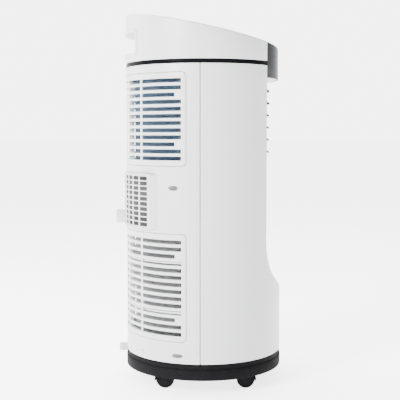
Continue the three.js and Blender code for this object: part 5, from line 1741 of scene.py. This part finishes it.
class AC_OT_ring(bpy.types.Operator):
    """Gloss black ring under the head"""
    bl_idname = "air_conditioner.ring"
    bl_label = "Trim ring"
    bl_options = {"REGISTER", "UNDO"}

    def execute(self, context):
        build_ring()
        return {"FINISHED"}


class AC_OT_head(bpy.types.Operator):
    """Sloped white head"""
    bl_idname = "air_conditioner.head"
    bl_label = "Head"
    bl_options = {"REGISTER", "UNDO"}

    def execute(self, context):
        build_head()
        return {"FINISHED"}


class AC_OT_handle(bpy.types.Operator):
    """Finger cup in the back of the head"""
    bl_idname = "air_conditioner.handle"
    bl_label = "Handle"
    bl_options = {"REGISTER", "UNDO"}

    def execute(self, context):
        build_handle()
        return {"FINISHED"}


class AC_OT_visor(bpy.types.Operator):
    """Smoked visor and the white tray inside it"""
    bl_idname = "air_conditioner.visor"
    bl_label = "Visor"
    bl_options = {"REGISTER", "UNDO"}

    def execute(self, context):
        build_visor()
        return {"FINISHED"}


class AC_OT_controls(bpy.types.Operator):
    """Control panel and its push buttons"""
    bl_idname = "air_conditioner.controls"
    bl_label = "Controls"
    bl_options = {"REGISTER", "UNDO"}

    def execute(self, context):
        build_controls()
        return {"FINISHED"}


class AC_OT_grilles(bpy.types.Operator):
    """Slotted intake grilles on the back"""
    bl_idname = "air_conditioner.grilles"
    bl_label = "Grilles"
    bl_options = {"REGISTER", "UNDO"}

    def execute(self, context):
        build_grilles()
        return {"FINISHED"}


class AC_OT_filters(bpy.types.Operator):
    """Filter lattices behind the grilles"""
    bl_idname = "air_conditioner.filters"
    bl_label = "Filters"
    bl_options = {"REGISTER", "UNDO"}

    def execute(self, context):
        build_filters()
        return {"FINISHED"}


class AC_OT_coils(bpy.types.Operator):
    """Finned coils behind the filters"""
    bl_idname = "air_conditioner.coils"
    bl_label = "Coils"
    bl_options = {"REGISTER", "UNDO"}

    def execute(self, context):
        build_coils()
        return {"FINISHED"}


class AC_OT_exhaust(bpy.types.Operator):
    """Hot-air collar and its grid"""
    bl_idname = "air_conditioner.exhaust"
    bl_label = "Exhaust"
    bl_options = {"REGISTER", "UNDO"}

    def execute(self, context):
        build_exhaust()
        return {"FINISHED"}


class AC_OT_drains(bpy.types.Operator):
    """Drain spouts and their caps"""
    bl_idname = "air_conditioner.drains"
    bl_label = "Drains"
    bl_options = {"REGISTER", "UNDO"}

    def execute(self, context):
        build_drains()
        return {"FINISHED"}


class AC_OT_gland(bpy.types.Operator):
    """Bush that the mains lead comes out of"""
    bl_idname = "air_conditioner.gland"
    bl_label = "Gland"
    bl_options = {"REGISTER", "UNDO"}

    def execute(self, context):
        build_gland()
        return {"FINISHED"}


class AC_OT_louvres(bpy.types.Operator):
    """Outlet surround, louvres and their link"""
    bl_idname = "air_conditioner.louvres"
    bl_label = "Louvres"
    bl_options = {"REGISTER", "UNDO"}

    def execute(self, context):
        build_louvres()
        return {"FINISHED"}


class AC_OT_casters(bpy.types.Operator):
    """Twin-wheel casters"""
    bl_idname = "air_conditioner.casters"
    bl_label = "Casters"
    bl_options = {"REGISTER", "UNDO"}

    def execute(self, context):
        build_casters()
        return {"FINISHED"}


class AC_OT_screws(bpy.types.Operator):
    """Cover screws in their pockets"""
    bl_idname = "air_conditioner.screws"
    bl_label = "Screws"
    bl_options = {"REGISTER", "UNDO"}

    def execute(self, context):
        build_screws()
        return {"FINISHED"}


OPERATORS = [AC_OT_stage, AC_OT_inner_pieces, AC_OT_base, AC_OT_front_cover, AC_OT_rear_cover,
             AC_OT_ring, AC_OT_head, AC_OT_handle, AC_OT_visor, AC_OT_controls,
             AC_OT_grilles, AC_OT_filters, AC_OT_coils, AC_OT_exhaust, AC_OT_drains,
             AC_OT_gland, AC_OT_louvres, AC_OT_casters, AC_OT_screws]


class AC_PT_builder(bpy.types.Panel):
    """Lists the pieces in the order they are built"""
    bl_idname = "AC_PT_builder"
    bl_label = "Air Conditioner"
    bl_space_type = "VIEW_3D"
    bl_region_type = "UI"
    bl_category = "Air Conditioner"

    def draw(self, context):
        for operator in OPERATORS:
            self.layout.operator(operator.bl_idname)
        for name, group in SETTINGS.items():
            box = self.layout.box()
            for key in group.__annotations__:
                box.prop(getattr(context.scene, name), key)


def register():
    for group in SETTINGS.values():
        bpy.utils.register_class(group)
    for name, group in SETTINGS.items():
        setattr(bpy.types.Scene, name, bpy.props.PointerProperty(type=group))
    for operator in OPERATORS:
        bpy.utils.register_class(operator)
    bpy.utils.register_class(AC_PT_builder)


def unregister():
    bpy.utils.unregister_class(AC_PT_builder)
    for operator in reversed(OPERATORS):
        bpy.utils.unregister_class(operator)
    for name, group in SETTINGS.items():
        delattr(bpy.types.Scene, name)
        bpy.utils.unregister_class(group)


def main():
    register()
    for operator in OPERATORS:
        getattr(bpy.ops.air_conditioner, operator.bl_idname.split(".")[1])()


if __name__ == "__main__":
    main()
